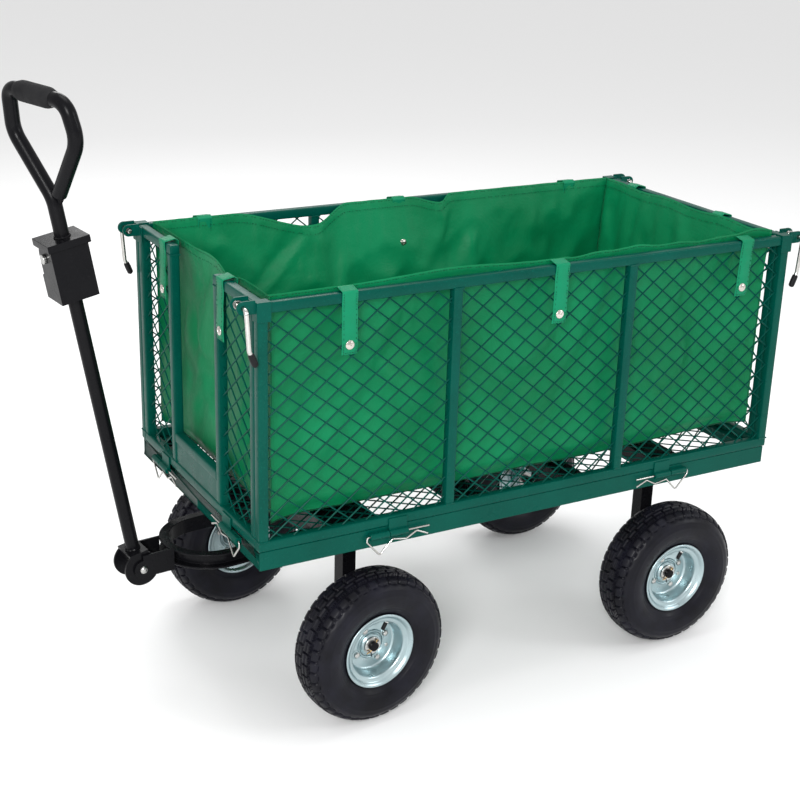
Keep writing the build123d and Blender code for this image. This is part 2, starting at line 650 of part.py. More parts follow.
def hitch_box():
    """Sheet box open on its far side; the far top corners are rounded about the fold pin."""
    bx, by, s = BOX_X / 2, BOX_Y / 2, BOX_SHEET
    round_r = BOX_TOP - FOLD_Z - 1.5
    wall_top = BOX_TOP - 1
    cheek = Pos(0, (BOX_BOTTOM + FOLD_Z) / 2) * Rectangle(BOX_Y, FOLD_Z - BOX_BOTTOM)
    cheek -= Pos(by, FOLD_Z - FOLD_RELIEF / 2) * Rectangle(2 * (by - round_r), FOLD_RELIEF + 0.1)
    cheek += Pos(-by / 2, (FOLD_Z + wall_top) / 2) * Rectangle(by, wall_top - FOLD_Z)
    cheek += Pos(0, FOLD_Z) * Circle(round_r)
    plane = Plane(origin=(-bx, 0, 0), x_dir=(0, 1, 0), z_dir=(1, 0, 0))
    front = extrude(plane * cheek, amount=s)
    near = block(-bx, bx, -by, -by + s, BOX_BOTTOM, wall_top)
    base = block(-bx, bx, -by, by, BOX_BOTTOM, BOX_BOTTOM + s)
    box = front + mirror_x(front) + near + base
    return box - rod(5.0, (-40, 0, FOLD_Z), (40, 0, FOLD_Z))


def hitch_lid():
    """Lid plate with lips on three sides, and the flat tab that turns on the fold pin."""
    bx, by = BOX_X / 2 + 3.5, BOX_Y / 2 + 4.5
    z0, z1 = BOX_TOP, BOX_TOP + 3
    lid = block(-bx, bx, -by, by - 4, z0, z1)
    for sign in (-1, 1):
        lid += block(sign * bx, sign * (bx - 2.5), -by, by - 4, z0 - 8, z0)
    lid += block(-bx, bx, -by, -by + 2.5, z0 - 8, z0)
    tab = Pos(0, (FOLD_Z + z0) / 2) * Rectangle(24, z0 - FOLD_Z) + Pos(0, FOLD_Z) * Circle(12)
    plane = Plane(origin=(-10, 0, 0), x_dir=(0, 1, 0), z_dir=(1, 0, 0))
    tab = extrude(plane * tab, amount=20)
    return lid + tab - rod(5.06, (-11, 0, FOLD_Z), (11, 0, FOLD_Z))


def fold_pin():
    """Round pin through the box's cheeks, with a flat head and an end cap."""
    bx = BOX_X / 2
    pin = rod(5.0, (-bx - 1, 0, FOLD_Z), (bx + 1, 0, FOLD_Z))
    pin += rod(7.5, (-bx, 0, FOLD_Z), (-bx - 5, 0, FOLD_Z))
    return pin + rod(7.5, (bx, 0, FOLD_Z), (bx + 3, 0, FOLD_Z))


def loop_point(across, along):
    """Point of the handle loop's plane, across from the shaft and along it above the lid."""
    yaw = math.radians(LOOP_YAW)
    lid_top = BOX_TOP + 3
    return (across * math.sin(yaw), -across * math.cos(yaw), lid_top + along)


GRIP_FAR = (-41.0, 216.0)
GRIP_NEAR = (84.0, 204.0)


def handle_loop():
    """Bent tube: stem, far leg, top under the grip, and near leg welded back to the stem."""
    r = HANDLE_TUBE / 2
    plan = [(5, 0), (5, 58), (-53, 152), GRIP_FAR, GRIP_NEAR, (92, 150), (22, 66)]
    bends = [45.0, 40.0, 19.0, 24.0, 45.0]
    return bent_rod(r, [loop_point(*p) for p in plan], bends, r - 2)


def grip():
    """Foam sleeve over the straight top of the loop."""
    fractions = (0.17, 0.80)
    ends = []
    for f in fractions:
        across = GRIP_FAR[0] + f * (GRIP_NEAR[0] - GRIP_FAR[0])
        along = GRIP_FAR[1] + f * (GRIP_NEAR[1] - GRIP_FAR[1])
        ends.append(loop_point(across, along))
    return rod(GRIP_D / 2, ends[0], ends[1], HANDLE_TUBE / 2 + 0.05)


# ---------------------------------------------------------------- write every node
save("bed_rails", *bed_rails())
save("bed_cross_members", *cross_members())
deck_x = CAGE_X - TUBE - 1
deck_plane = Plane(origin=(0, 0, BED_TOP + DECK_THICK / 2))
deck_bay = (-deck_x, deck_x, -END_PANEL_Y, END_PANEL_Y)
save("deck_mesh", *mesh_bays([deck_bay], deck_plane, DECK_THICK))
save("bed_hinge_knuckles", *bed_knuckles())
save("hinge_clips", *hinge_clips())

save("near_panel_frame", *side_frame())
save("near_panel_mesh", *side_mesh())
save("near_panel_brackets", *side_brackets())
save("far_panel_frame", *[mirror_y(s) for s in side_frame()])
save("far_panel_mesh", *[mirror_y(s) for s in side_mesh()])
save("far_panel_brackets", *[mirror_y(s) for s in side_brackets()])

save("front_panel_frame", *end_frame(True))
save("rear_panel_frame", *[mirror_x(s) for s in end_frame(False)])
save("front_panel_mesh", *end_mesh(True))
save("rear_panel_mesh", *[mirror_x(s) for s in end_mesh(False)])
front_brackets = end_brackets()
save("end_panel_brackets", *front_brackets, *[mirror_x(s) for s in front_brackets])
plate_y = INNER_POST_Y - TUBE / 2
save("front_panel_plate", block(-CAGE_X + 2, -CAGE_X + 5, -plate_y, plate_y,
                                CAGE_BOTTOM + TUBE, LOW_RAIL_Z - TUBE / 2))

near_pin, near_tip = latch_pin(), latch_tip()
for end, flip in (("front", lambda s: s), ("rear", mirror_x)):
    save(f"latch_pin_near_{end}", flip(near_pin))
    save(f"latch_tip_near_{end}", flip(near_tip))
    save(f"latch_pin_far_{end}", mirror_y(flip(near_pin)))
    save(f"latch_tip_far_{end}", mirror_y(flip(near_tip)))

save("liner", liner())
side_strap_x = (-356.0, 22.0, 400.0)
end_strap_y = (-INNER_POST_Y - 22, INNER_POST_Y + 22)
save("near_liner_straps", *[side_strap(x) for x in side_strap_x])
save("far_liner_straps", *[mirror_y(side_strap(x)) for x in side_strap_x])
end_straps = [end_strap(y) for y in end_strap_y]
save("end_liner_straps", *end_straps, *[mirror_x(s) for s in end_straps])
save("near_strap_snaps", *[side_snap(x) for x in side_strap_x])
save("far_strap_snaps", *[mirror_y(side_snap(x)) for x in side_strap_x])
end_snaps = [end_snap(y) for y in end_strap_y]
save("end_strap_snaps", *end_snaps, *[mirror_x(s) for s in end_snaps])

save("pivot_plate", Pos(FRONT_AXLE_X, 0, 0) * pivot_plate())
save("kingpin_bolt", Pos(FRONT_AXLE_X, 0, 0) * kingpin())
save("steering_beam", STEER * steering_beam())
save("steering_bow", STEER * steering_bow())
save("tongue_channel", STEER * tongue())
save("front_legs", *[STEER * leg(y, BEAM_BOTTOM) for y in (-FRONT_LEG_Y, FRONT_LEG_Y)])
front_axle_place = STEER * Pos(0, 0, AXLE_Z)
rear_axle_place = Pos(REAR_AXLE_X, 0, AXLE_Z)
front_stubs = stub_axles(FRONT_LEG_Y, FRONT_HALF_TRACK)
save("front_axle", *[front_axle_place * s for s in front_stubs])
save("front_axle_fasteners", *[front_axle_place * s for s in axle_fasteners(FRONT_HALF_TRACK)])
save("rear_legs", *[Pos(REAR_AXLE_X, 0, 0) * leg(y, BED_BOTTOM) for y in (-REAR_LEG_Y, REAR_LEG_Y)])
rear_stubs = stub_axles(REAR_LEG_Y, REAR_HALF_TRACK)
save("rear_axle", *[rear_axle_place * s for s in rear_stubs])
save("rear_axle_fasteners", *[rear_axle_place * s for s in axle_fasteners(REAR_HALF_TRACK)])

wheel_tyre, wheel_rim = tyre(), rim()
for name, place, track, sign in (("near_front", front_axle_place, FRONT_HALF_TRACK, -1),
                                 ("far_front", front_axle_place, FRONT_HALF_TRACK, 1),
                                 ("near_rear", rear_axle_place, REAR_HALF_TRACK, -1),
                                 ("far_rear", rear_axle_place, REAR_HALF_TRACK, 1)):
    outward = Rot(0, 0, 180) if sign < 0 else Rot(0, 0, 0)
    seat = place * Pos(0, sign * track, 0) * outward
    save(f"tyre_{name}", *[seat * s for s in wheel_tyre])
    save(f"rim_{name}", *[seat * s for s in wheel_rim])

save("tongue_bolt", STEER * Pos(-PIVOT_AHEAD, 0, PIVOT_Z)
     * hex_bolt(6.0, -TONGUE_INNER - TONGUE_WALL, TONGUE_INNER + TONGUE_WALL, 10.0))
save("handle_fork", HANDLE * fork())
save("lower_shaft", HANDLE * rod(HANDLE_TUBE / 2, (0, 0, EAR_RADIUS), (0, 0, BOX_BOTTOM),
                                 HANDLE_TUBE / 2 - 2))
save("hitch_box", HANDLE * hitch_box())
save("fold_pin", HANDLE * fold_pin())
save("hitch_lid", HANDLE * hitch_lid())
save("handle_loop", HANDLE * handle_loop())
save("handle_grip", HANDLE * grip())
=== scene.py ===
"""Finished surfaces and soft parts of the garden cart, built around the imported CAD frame.

Metres, +Z up, -X the pulling end, -Y the near side. Every piece rides on a CAD body.
"""
import json
import math

import bmesh
import bpy
from mathutils import Matrix, Vector, noise

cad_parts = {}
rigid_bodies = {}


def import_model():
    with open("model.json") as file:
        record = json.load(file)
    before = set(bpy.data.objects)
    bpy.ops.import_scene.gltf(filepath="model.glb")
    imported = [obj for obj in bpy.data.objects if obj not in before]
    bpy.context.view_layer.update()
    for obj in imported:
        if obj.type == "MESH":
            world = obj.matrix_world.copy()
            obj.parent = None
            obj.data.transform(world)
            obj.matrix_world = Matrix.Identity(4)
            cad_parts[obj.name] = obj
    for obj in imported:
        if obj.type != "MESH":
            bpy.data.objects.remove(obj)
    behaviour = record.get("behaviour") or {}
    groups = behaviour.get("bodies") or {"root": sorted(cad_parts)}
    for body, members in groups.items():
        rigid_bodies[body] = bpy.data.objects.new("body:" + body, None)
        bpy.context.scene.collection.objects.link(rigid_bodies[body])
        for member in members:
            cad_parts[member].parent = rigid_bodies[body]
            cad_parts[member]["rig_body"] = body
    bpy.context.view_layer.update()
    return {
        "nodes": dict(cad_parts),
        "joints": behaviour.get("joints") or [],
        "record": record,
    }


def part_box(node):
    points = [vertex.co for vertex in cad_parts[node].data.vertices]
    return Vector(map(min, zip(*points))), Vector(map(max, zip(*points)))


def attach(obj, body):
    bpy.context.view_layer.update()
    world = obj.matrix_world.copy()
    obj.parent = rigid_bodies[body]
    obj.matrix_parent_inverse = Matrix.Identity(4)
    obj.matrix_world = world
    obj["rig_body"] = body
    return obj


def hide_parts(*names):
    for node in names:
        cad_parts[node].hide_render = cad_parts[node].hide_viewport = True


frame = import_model()
nodes = frame["nodes"]
joints = {joint["name"]: joint for joint in frame["joints"]}
slot_of = {part["node"]: part["material_slot"] for part in frame["record"]["subparts"]}

# ---------------------------------------------------------------- sizes
SIDE_LOW, SIDE_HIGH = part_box("near_panel_frame")
REAR_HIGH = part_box("rear_panel_frame")[1]
DECK_LOW, DECK_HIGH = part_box("deck_mesh")
LINER_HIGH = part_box("liner")[1]
CAGE_X = SIDE_HIGH.x
CAGE_Y = -SIDE_LOW.y
CAGE_BOTTOM, CAGE_TOP = SIDE_LOW.z, SIDE_HIGH.z
TUBE = SIDE_HIGH.y - SIDE_LOW.y
HALF_TUBE = TUBE / 2
TUBE_EDGE = 0.0024          # rounding of a square tube's corners
END_PANEL_Y = REAR_HIGH.y
INNER_POST_Y = 0.097        # middle of the inner posts of the end panels
LOW_RAIL_Z = 0.406
MULLION_X = CAGE_X / 3
HINGE_X = 0.296
HINGE_Y = 0.168

MESH_STEP_X = 0.0413        # diamond of the wire mesh, long way
MESH_STEP_Z = 0.033
MESH_NODE_X = -0.3235       # a crossing of the side panels' wires
MESH_NODE_Y = 0.01          # a crossing of the end panels' wires
MESH_NODE_Z = 0.717
WIRE_R = 0.0013
WIRE_BITE = 0.001           # how far a wire's end runs into its tube

STEER_REST = math.radians(5.5)
HANDLE_LEAN = math.radians(10.1)
LOOP_YAW = math.radians(15)
MM = 0.001


def joint_point(name):
    return Vector(joints[name]["pos_m"])


def turned(degrees, axis):
    return Matrix.Rotation(math.radians(degrees), 4, axis)


def in_metres(profile):
    return [(a * MM, b * MM) for a, b in profile]


def circle(sides):
    """Cosine and sine of each corner of a regular polygon."""
    turns = (2 * math.pi * j / sides for j in range(sides))
    return [(math.cos(a), math.sin(a)) for a in turns]


def step(edge0, edge1, x):
    """Smooth rise from 0 at the first edge to 1 at the second."""
    t = min(max((x - edge0) / (edge1 - edge0), 0.0), 1.0)
    return t * t * (3 - 2 * t)


def bell(x, centre, width):
    return math.exp(-((x - centre) / width) ** 2)


TURN = Matrix.Rotation(STEER_REST, 4, "Z")
HANDLE = (Matrix.Translation(joint_point("handle_tilt")) @ TURN
          @ Matrix.Rotation(-HANDLE_LEAN, 4, "Y"))


# ---------------------------------------------------------------- camera, lights and stage
def make_camera():
    """Camera at the reference viewing angle: azimuth, elevation and a slight roll."""
    azimuth, elevation, roll = (math.radians(a) for a in (-29.595, 20.675, 1.7215))
    right = Vector((math.cos(azimuth), math.sin(azimuth), 0))
    back = Vector((math.sin(azimuth) * math.cos(elevation),
                   -math.cos(azimuth) * math.cos(elevation), math.sin(elevation)))
    up = back.cross(right)
    across = math.cos(roll) * right + math.sin(roll) * up
    upward = math.cos(roll) * up - math.sin(roll) * right
    data = bpy.data.cameras.new("camera")
    data.lens = 66.36
    data.sensor_width = 36
    camera = bpy.data.objects.new("camera", data)
    turn = Matrix((across, upward, back)).transposed().to_4x4()
    camera.matrix_world = Matrix.Translation((-1.3008, -2.0824, 1.3475)) @ turn
    bpy.context.scene.collection.objects.link(camera)
    bpy.context.scene.camera = camera


def area_light(name, place, target, size, power, tint=(1, 1, 1)):
    data = bpy.data.lights.new(name, "AREA")
    data.shape = "DISK"
    data.size = size
    data.energy = power
    data.color = tint
    light = bpy.data.objects.new(name, data)
    aim = (Vector(target) - Vector(place)).to_track_quat("-Z", "Y")
    light.matrix_world = Matrix.Translation(place) @ aim.to_matrix().to_4x4()
    bpy.context.scene.collection.objects.link(light)


def make_studio():
    """Pale floor, white surroundings and large soft lights."""
    world = bpy.data.worlds.new("studio")
    bpy.context.scene.world = world
    world.use_nodes = True
    background = world.node_tree.nodes["Background"]
    background.inputs["Color"].default_value = (1, 1, 1, 1)
    background.inputs["Strength"].default_value = 0.80
    area_light("key_light", (-2.3, -3.0, 2.1), (0, 0, 0.4), 1.3, 120)
    area_light("top_light", (0.2, 0.4, 4.2), (0, 0, 0), 2.4, 55)
    area_light("side_light", (2.8, -2.6, 2.0), (0.1, 0, 0.4), 1.4, 30, (0.95, 0.98, 1))
    area_light("back_light", (0.6, 3.0, 2.6), (0, 0, 0.5), 1.8, 26)
    mesh = bpy.data.meshes.new("floor")
    half = 12.0
    mesh.from_pydata([(-half, -half, 0), (half, -half, 0), (half, half, 0), (-half, half, 0)],
                     [], [(0, 1, 2, 3)])
    floor = bpy.data.objects.new("floor", mesh)
    pale = bpy.data.materials.new("floor_paint")
    pale.use_nodes = True
    shader = pale.node_tree.nodes["Principled BSDF"]
    shader.inputs["Base Color"].default_value = (0.93, 0.93, 0.93, 1)
    shader.inputs["Roughness"].default_value = 0.9
    mesh.materials.append(pale)
    bpy.context.scene.collection.objects.link(floor)
    bpy.context.scene.view_settings.view_transform = "Standard"


# ---------------------------------------------------------------- materials
class Shader:
    """A material's nodes: a Principled shader with helpers for texture, mixing and bump."""

    def __init__(self, name, roughness, metallic=0.0):
        self.material = bpy.data.materials.new(name)
        self.material.use_nodes = True
        self.tree = self.material.node_tree
        self.out = self.tree.nodes["Principled BSDF"]
        self.out.inputs["Roughness"].default_value = roughness
        self.out.inputs["Metallic"].default_value = metallic
        self.place = self.tree.nodes.new("ShaderNodeTexCoord").outputs["Object"]

    def link(self, source, target):
        self.tree.links.new(source, target)

    def feed(self, name, source):
        """Join a node's output to one of the Principled shader's inputs."""
        self.link(source, self.out.inputs[name])

    def cloud(self, scale, detail, low, high):
        """Soft patches from 0 to 1."""
        return self.ramp(self.noise(scale, detail), low, high, 0.0, 1.0)

    def uneven_gloss(self, scale, detail, low, high):
        self.feed("Roughness", self.ramp(self.noise(scale, detail), 0.3, 0.7, low, high))

    def noise(self, scale, detail=3.0, rough=0.55):
        node = self.tree.nodes.new("ShaderNodeTexNoise")
        node.inputs["Scale"].default_value = scale
        node.inputs["Detail"].default_value = detail
        node.inputs["Roughness"].default_value = rough
        self.link(self.place, node.inputs["Vector"])
        return node.outputs["Fac"]

    def cells(self, scale):
        node = self.tree.nodes.new("ShaderNodeTexVoronoi")
        node.inputs["Scale"].default_value = scale
        self.link(self.place, node.inputs["Vector"])
        return node.outputs["Distance"]

    def ramp(self, value, low, high, out_low, out_high):
        node = self.tree.nodes.new("ShaderNodeMapRange")
        for key, number in (("From Min", low), ("From Max", high),
                            ("To Min", out_low), ("To Max", out_high)):
            node.inputs[key].default_value = number
        self.link(value, node.inputs["Value"])
        return node.outputs["Result"]

    def math(self, operation, first, second=0.0):
        node = self.tree.nodes.new("ShaderNodeMath")
        node.operation = operation
        for socket, value in zip(node.inputs, (first, second)):
            if isinstance(value, float):
                socket.default_value = value
            else:
                self.link(value, socket)
        return node.outputs["Value"]

    def mix(self, factor, first, second):
        """Colour between two colours, each a triple or another mix."""
        node = self.tree.nodes.new("ShaderNodeMix")
        node.data_type = "RGBA"
        self.link(factor, node.inputs["Factor"])
        for socket, value in ((node.inputs[6], first), (node.inputs[7], second)):
            if isinstance(value, tuple):
                socket.default_value = (*value, 1)
            else:
                self.link(value, socket)
        return node.outputs[2]

    def bump(self, *layers):
        """Stack (height, strength, distance) layers into the shader's normal."""
        normal = None
        for height, strength, distance in layers:
            node = self.tree.nodes.new("ShaderNodeBump")
            node.inputs["Strength"].default_value = strength
            node.inputs["Distance"].default_value = distance
            self.link(height, node.inputs["Height"])
            if normal is not None:
                self.link(normal, node.inputs["Normal"])
            normal = node.outputs["Normal"]
        self.link(normal, self.out.inputs["Normal"])

    def weave(self, pitch):
        """Threads along all three axes, which is a plain weave on any flat wall."""
        split = self.tree.nodes.new("ShaderNodeSeparateXYZ")
        self.link(self.place, split.inputs[0])
        waves = []
        for axis in split.outputs:
            waves.append(self.math("SINE", self.math("MULTIPLY", axis, 2 * math.pi / pitch)))
        return self.math("ADD", self.math("ADD", waves[0], waves[1]), waves[2])


def painted_steel(name, colour, dark, roughness, specular):
    """Stoved enamel: faint orange peel, uneven gloss and slightly uneven colour."""
    s = Shader(name, roughness)
    tone = s.cloud(9.0, 3.0, 0.3, 0.7)
    fleck = s.cloud(420.0, 1.0, 0.62, 0.74)
    lighter = tuple(c * 1.25 + 0.001 for c in colour)
    s.feed("Base Color", s.mix(fleck, s.mix(tone, dark, colour), lighter))
    s.uneven_gloss(30.0, 3.0, roughness - 0.06, roughness + 0.08)
    s.out.inputs["Specular IOR Level"].default_value = specular
    s.bump((s.noise(330.0, 2.0), 0.35, 0.0002), (s.noise(60.0, 2.0), 0.25, 0.0004))
    return s.material


def plated_steel(name, colour, shade, roughness):
    """Zinc or nickel plate: cloudy tone, fine drawn texture and uneven brightness."""
    s = Shader(name, roughness, 1.0)
    s.feed("Base Color", s.mix(s.cloud(22.0, 2.0, 0.3, 0.7), shade, colour))
    s.uneven_gloss(60.0, 2.0, roughness - 0.04, roughness + 0.09)
    s.bump((s.noise(700.0, 2.0), 0.15, 0.00006), (s.noise(30.0), 0.12, 0.0002))
    return s.material


def coated_fabric(name, colour, dark, pitch):
    """Woven cloth under a thin coating: weave with a painted highlight on its crests, soft creases,
    cloudy tone and a satin sheen.
    """
    s = Shader(name, 0.5)
    patches = s.cloud(5.0, 5.0, 0.35, 0.68)
    threads = s.weave(pitch)
    # Painted highlight: the weave's raised crests are lightened where light would catch them.
    crest_highlight = s.ramp(threads, -2.0, 2.0, 0.0, 0.22)
    lighter = tuple(c * 1.2 + 0.001 for c in colour)
    s.feed("Base Color", s.mix(crest_highlight, s.mix(patches, dark, colour), lighter))
    s.uneven_gloss(22.0, 4.0, 0.40, 0.58)
    s.out.inputs["Specular IOR Level"].default_value = 0.16
    s.out.inputs["Sheen Weight"].default_value = 0.01
    s.out.inputs["Sheen Roughness"].default_value = 0.4
    s.bump((threads, 0.22, 0.00012), (s.noise(14.0, 5.0, 0.6), 0.55, 0.0045),
           (s.noise(60.0, 3.0), 0.30, 0.0009))
    return s.material


def moulded_rubber(name, colour, dusty, roughness):
    """Moulded rubber: fine mould grain, bloom in patches and a satin skin."""
    s = Shader(name, roughness)
    s.out.inputs["Specular IOR Level"].default_value = 0.14
    s.feed("Base Color", s.mix(s.cloud(24.0, 5.0, 0.35, 0.72), colour, dusty))
    s.uneven_gloss(60.0, 3.0, roughness - 0.06, roughness + 0.12)
    s.bump((s.noise(900.0, 2.0), 0.3, 0.00015), (s.noise(150.0, 3.0), 0.2, 0.0004))
    return s.material


def foam_rubber(name, colour, lighter):
    """Closed-cell foam: small pits and a dull skin."""
    s = Shader(name, 0.8)
    s.out.inputs["Specular IOR Level"].default_value = 0.2
    s.feed("Base Color", s.mix(s.cloud(50.0, 4.0, 0.35, 0.7), colour, lighter))
    s.bump((s.cells(1300.0), 0.5, 0.0003), (s.noise(220.0, 3.0), 0.4, 0.0004))
    return s.material


# name: (maker, colour, second tone, then the maker's own values)
LOOKS = {
    "green_steel": (painted_steel, (0.0, 0.064, 0.046), (0.0, 0.050, 0.036), 0.30, 0.08),
    "green_mesh": (painted_steel, (0.0, 0.060, 0.045), (0.0, 0.042, 0.031), 0.34, 0.06),
    "black_steel": (painted_steel, (0.005, 0.005, 0.006), (0.003, 0.003, 0.004), 0.24, 0.09),
    "zinc_wire": (plated_steel, (0.62, 0.61, 0.58), (0.42, 0.41, 0.39), 0.22),
    "zinc_bolt": (plated_steel, (0.58, 0.58, 0.56), (0.36, 0.36, 0.35), 0.26),
    "zinc_rim": (plated_steel, (0.44, 0.54, 0.56), (0.35, 0.45, 0.47), 0.30),
    "snap_metal": (plated_steel, (0.70, 0.66, 0.61), (0.44, 0.41, 0.37), 0.20),
    "brass": (plated_steel, (0.72, 0.48, 0.20), (0.52, 0.33, 0.12), 0.28),
    "black_rubber": (moulded_rubber, (0.006, 0.006, 0.007), (0.012, 0.012, 0.013), 0.45),
    "tyre_rubber": (moulded_rubber, (0.004, 0.004, 0.006), (0.009, 0.009, 0.015), 0.36),
    "foam_grip": (foam_rubber, (0.005, 0.005, 0.006), (0.013, 0.013, 0.014)),
    "liner_fabric": (coated_fabric, (0.0, 0.180, 0.068), (0.0, 0.125, 0.042), 0.0014),
    "strap_fabric": (coated_fabric, (0.0, 0.190, 0.088), (0.0, 0.150, 0.066), 0.0011),
    "thread": (coated_fabric, (0.0, 0.050, 0.024), (0.0, 0.034, 0.016), 0.0006),
}
materials = {name: maker(name, *values) for name, (maker, *values) in LOOKS.items()}


# ---------------------------------------------------------------- mesh building
class Piece:
    """Collects the faces of one piece, then makes its object.

    Faces take the material at place `kind` in the piece's list of material names.
    """

    def __init__(self, *material_names):
        self.points, self.faces, self.kinds = [], [], []
        self.material_names = material_names
        self.kind = 0

    def add(self, points, faces):
        first = len(self.points)
        self.points += [tuple(p) for p in points]
        self.faces += [[first + i for i in face] for face in faces]
        self.kinds += [self.kind] * len(faces)

    def loft(self, rings, caps=True, wrap=False):
        """Join rings of equal count, each closed on itself; wrap joins the last to the first."""
        n = len(rings[0])
        faces = []
        for i in range(len(rings) if wrap else len(rings) - 1):
            a, b = i * n, (i + 1) % len(rings) * n
            faces += [[a + j, a + (j + 1) % n, b + (j + 1) % n, b + j] for j in range(n)]
        if caps and not wrap:
            last = (len(rings) - 1) * n
            faces += [list(range(n))[::-1], [last + j for j in range(n)]]
        self.add([p for ring in rings for p in ring], faces)

    def tube(self, path, radius, sides=14, end=0.35):
        """Round bar along a path, its ends rounded over by a share of its radius."""
        path = [Vector(p) for p in path]
        tangents = []
        for i in range(len(path)):
            step = path[min(i + 1, len(path) - 1)] - path[max(i - 1, 0)]
            tangents.append(step.normalized())
        side = tangents[0].orthogonal().normalized()
        rings = []

        def ring(centre, u, v, r):
            rings.append([centre + u * r * cos + v * r * sin for cos, sin in circle(sides)])

        for i, (point, along) in enumerate(zip(path, tangents)):
            side = (side - along * side.dot(along)).normalized()
            other = along.cross(side)
            r = radius(i / (len(path) - 1)) if callable(radius) else radius
            if i == 0:
                ring(point, side, other, r * (1 - end))
                ring(point + along * r * end, side, other, r)
            elif i == len(path) - 1:
                ring(point - along * r * end, side, other, r)
                ring(point, side, other, r * (1 - end))
            else:
                ring(point, side, other, r)
        self.loft(rings)

    def lathe(self, profile, place, sides=48, wrap=False, caps=True):
        """Turn a (radius, along) profile about the place's Y axis."""
        self.loft([[place @ Vector((radius * cos, along, radius * sin))
                    for cos, sin in circle(sides)] for radius, along in profile], caps, wrap)

    def bar(self, low, high, edge=TUBE_EDGE):
        """Square tube filling a box, with rounded long edges."""
        low, high = Vector(low), Vector(high)
        size = high - low
        along = max(range(3), key=lambda axis: size[axis])
        u, v = [axis for axis in range(3) if axis != along]
        middle = (low + high) / 2
        trim = edge * 0.4
        rings = []
        for place, inset in ((low[along], trim), (low[along] + trim, 0),
                             (high[along] - trim, 0), (high[along], trim)):
            ring = []
            for a, b in rounded_rectangle(size[u] - 2 * inset, size[v] - 2 * inset, edge):
                point = middle.copy()
                point[along] = place
                point[u] += a
                point[v] += b
                ring.append(point)
            rings.append(ring)
        self.loft(rings)

    def weld(self, corners, radius=0.0014):
        """Rippled bead round a closed run of corners."""
        path = []
        for i, corner in enumerate(corners):
            following = Vector(corners[(i + 1) % len(corners)])
            path += [Vector(corner).lerp(following, k / 6) for k in range(6)]
        rings = []
        centre = sum(path, Vector()) / len(path)
        for i, point in enumerate(path):
            along = (path[(i + 1) % len(path)] - path[i - 1]).normalized()
            out = point - centre
            out = (out - along * out.dot(along)).normalized()
            up = along.cross(out)
            r = radius * (1 + 0.22 * math.sin(i * 2.4) + 0.12 * noise.noise(point * 400))
            rings.append([point + out * r * cos + up * r * sin for cos, sin in circle(6)])
        self.loft(rings, wrap=True)

    def weld_round(self, centre, radius, lift, bead):
        """Bead round the handle's tube, lifted along it."""
        self.weld([centre + HANDLE.to_3x3() @ Vector((radius * cos, radius * sin, lift))
                   for cos, sin in circle(8)], bead)

    def make(self, name, body, replaces=(), crease=38.0):
        """The finished object, with the piece's materials in their listed order."""
        mesh = bpy.data.meshes.new(name)
        mesh.from_pydata(self.points, [], self.faces)
        for material_name in self.material_names:
            mesh.materials.append(materials[material_name])
        mesh.polygons.foreach_set("material_index", self.kinds)
        bm = bmesh.new()
        bm.from_mesh(mesh)
        bmesh.ops.recalc_face_normals(bm, faces=bm.faces)
        bm.to_mesh(mesh)
        bm.free()
        mesh.shade_smooth()
        mesh.set_sharp_from_angle(angle=math.radians(crease))
        piece = bpy.data.objects.new(name, mesh)
        bpy.context.scene.collection.objects.link(piece)
        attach(piece, body)
        if replaces:
            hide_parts(*replaces)
        return piece


def rounded_rectangle(width, height, radius, steps=3):
    """Outline of a rectangle about the origin, with round corners."""
    points = []
    corners = ((1, 1, 0), (-1, 1, 90), (-1, -1, 180), (1, -1, 270))
    for sx, sy, start in corners:
        cx, cy = sx * (width / 2 - radius), sy * (height / 2 - radius)
        for k in range(steps + 1):
            a = math.radians(start + 90 * k / steps)
            points.append((cx + radius * math.cos(a), cy + radius * math.sin(a)))
    return points


def bent_path(points, bends, steps=8):
    """Straight runs joined by tangent arcs; bends has one radius for each inner corner."""
    points = [Vector(p) for p in points]
    if not hasattr(bends, "__len__"):
        bends = [bends] * (len(points) - 2)
    path = [points[0]]
    for before, corner, after, radius in zip(points, points[1:], points[2:], bends):
        to_before = (before - corner).normalized()
        to_after = (after - corner).normalized()
        half = to_before.angle(to_after) / 2
        reach = radius / math.tan(half)
        start, end = corner + to_before * reach, corner + to_after * reach
        centre = corner + (to_before + to_after).normalized() * radius / math.sin(half)
        arm, last = start - centre, end - centre
        axis = arm.cross(last).normalized()
        sweep = arm.angle(last)
        for k in range(steps + 1):
            path.append(centre + Matrix.Rotation(sweep * k / steps, 3, axis) @ arm)
    path.append(points[-1])
    return path


def smooth_curve(points, steps):
    """Catmull-Rom curve through points, for turned profiles and bent wire."""
    points = [Vector(p) for p in points]
    ends = [points[0] * 2 - points[1]] + points + [points[-1] * 2 - points[-2]]
    out = []
    for a, b, c, d in zip(ends, ends[1:], ends[2:], ends[3:]):
        for k in range(steps):
            t = k / steps
            out.append(0.5 * (2 * b + (c - a) * t + (2 * a - 5 * b + 4 * c - d) * t * t
                              + (3 * b - a - 3 * c + d) * t ** 3))
    return out + [points[-1]]


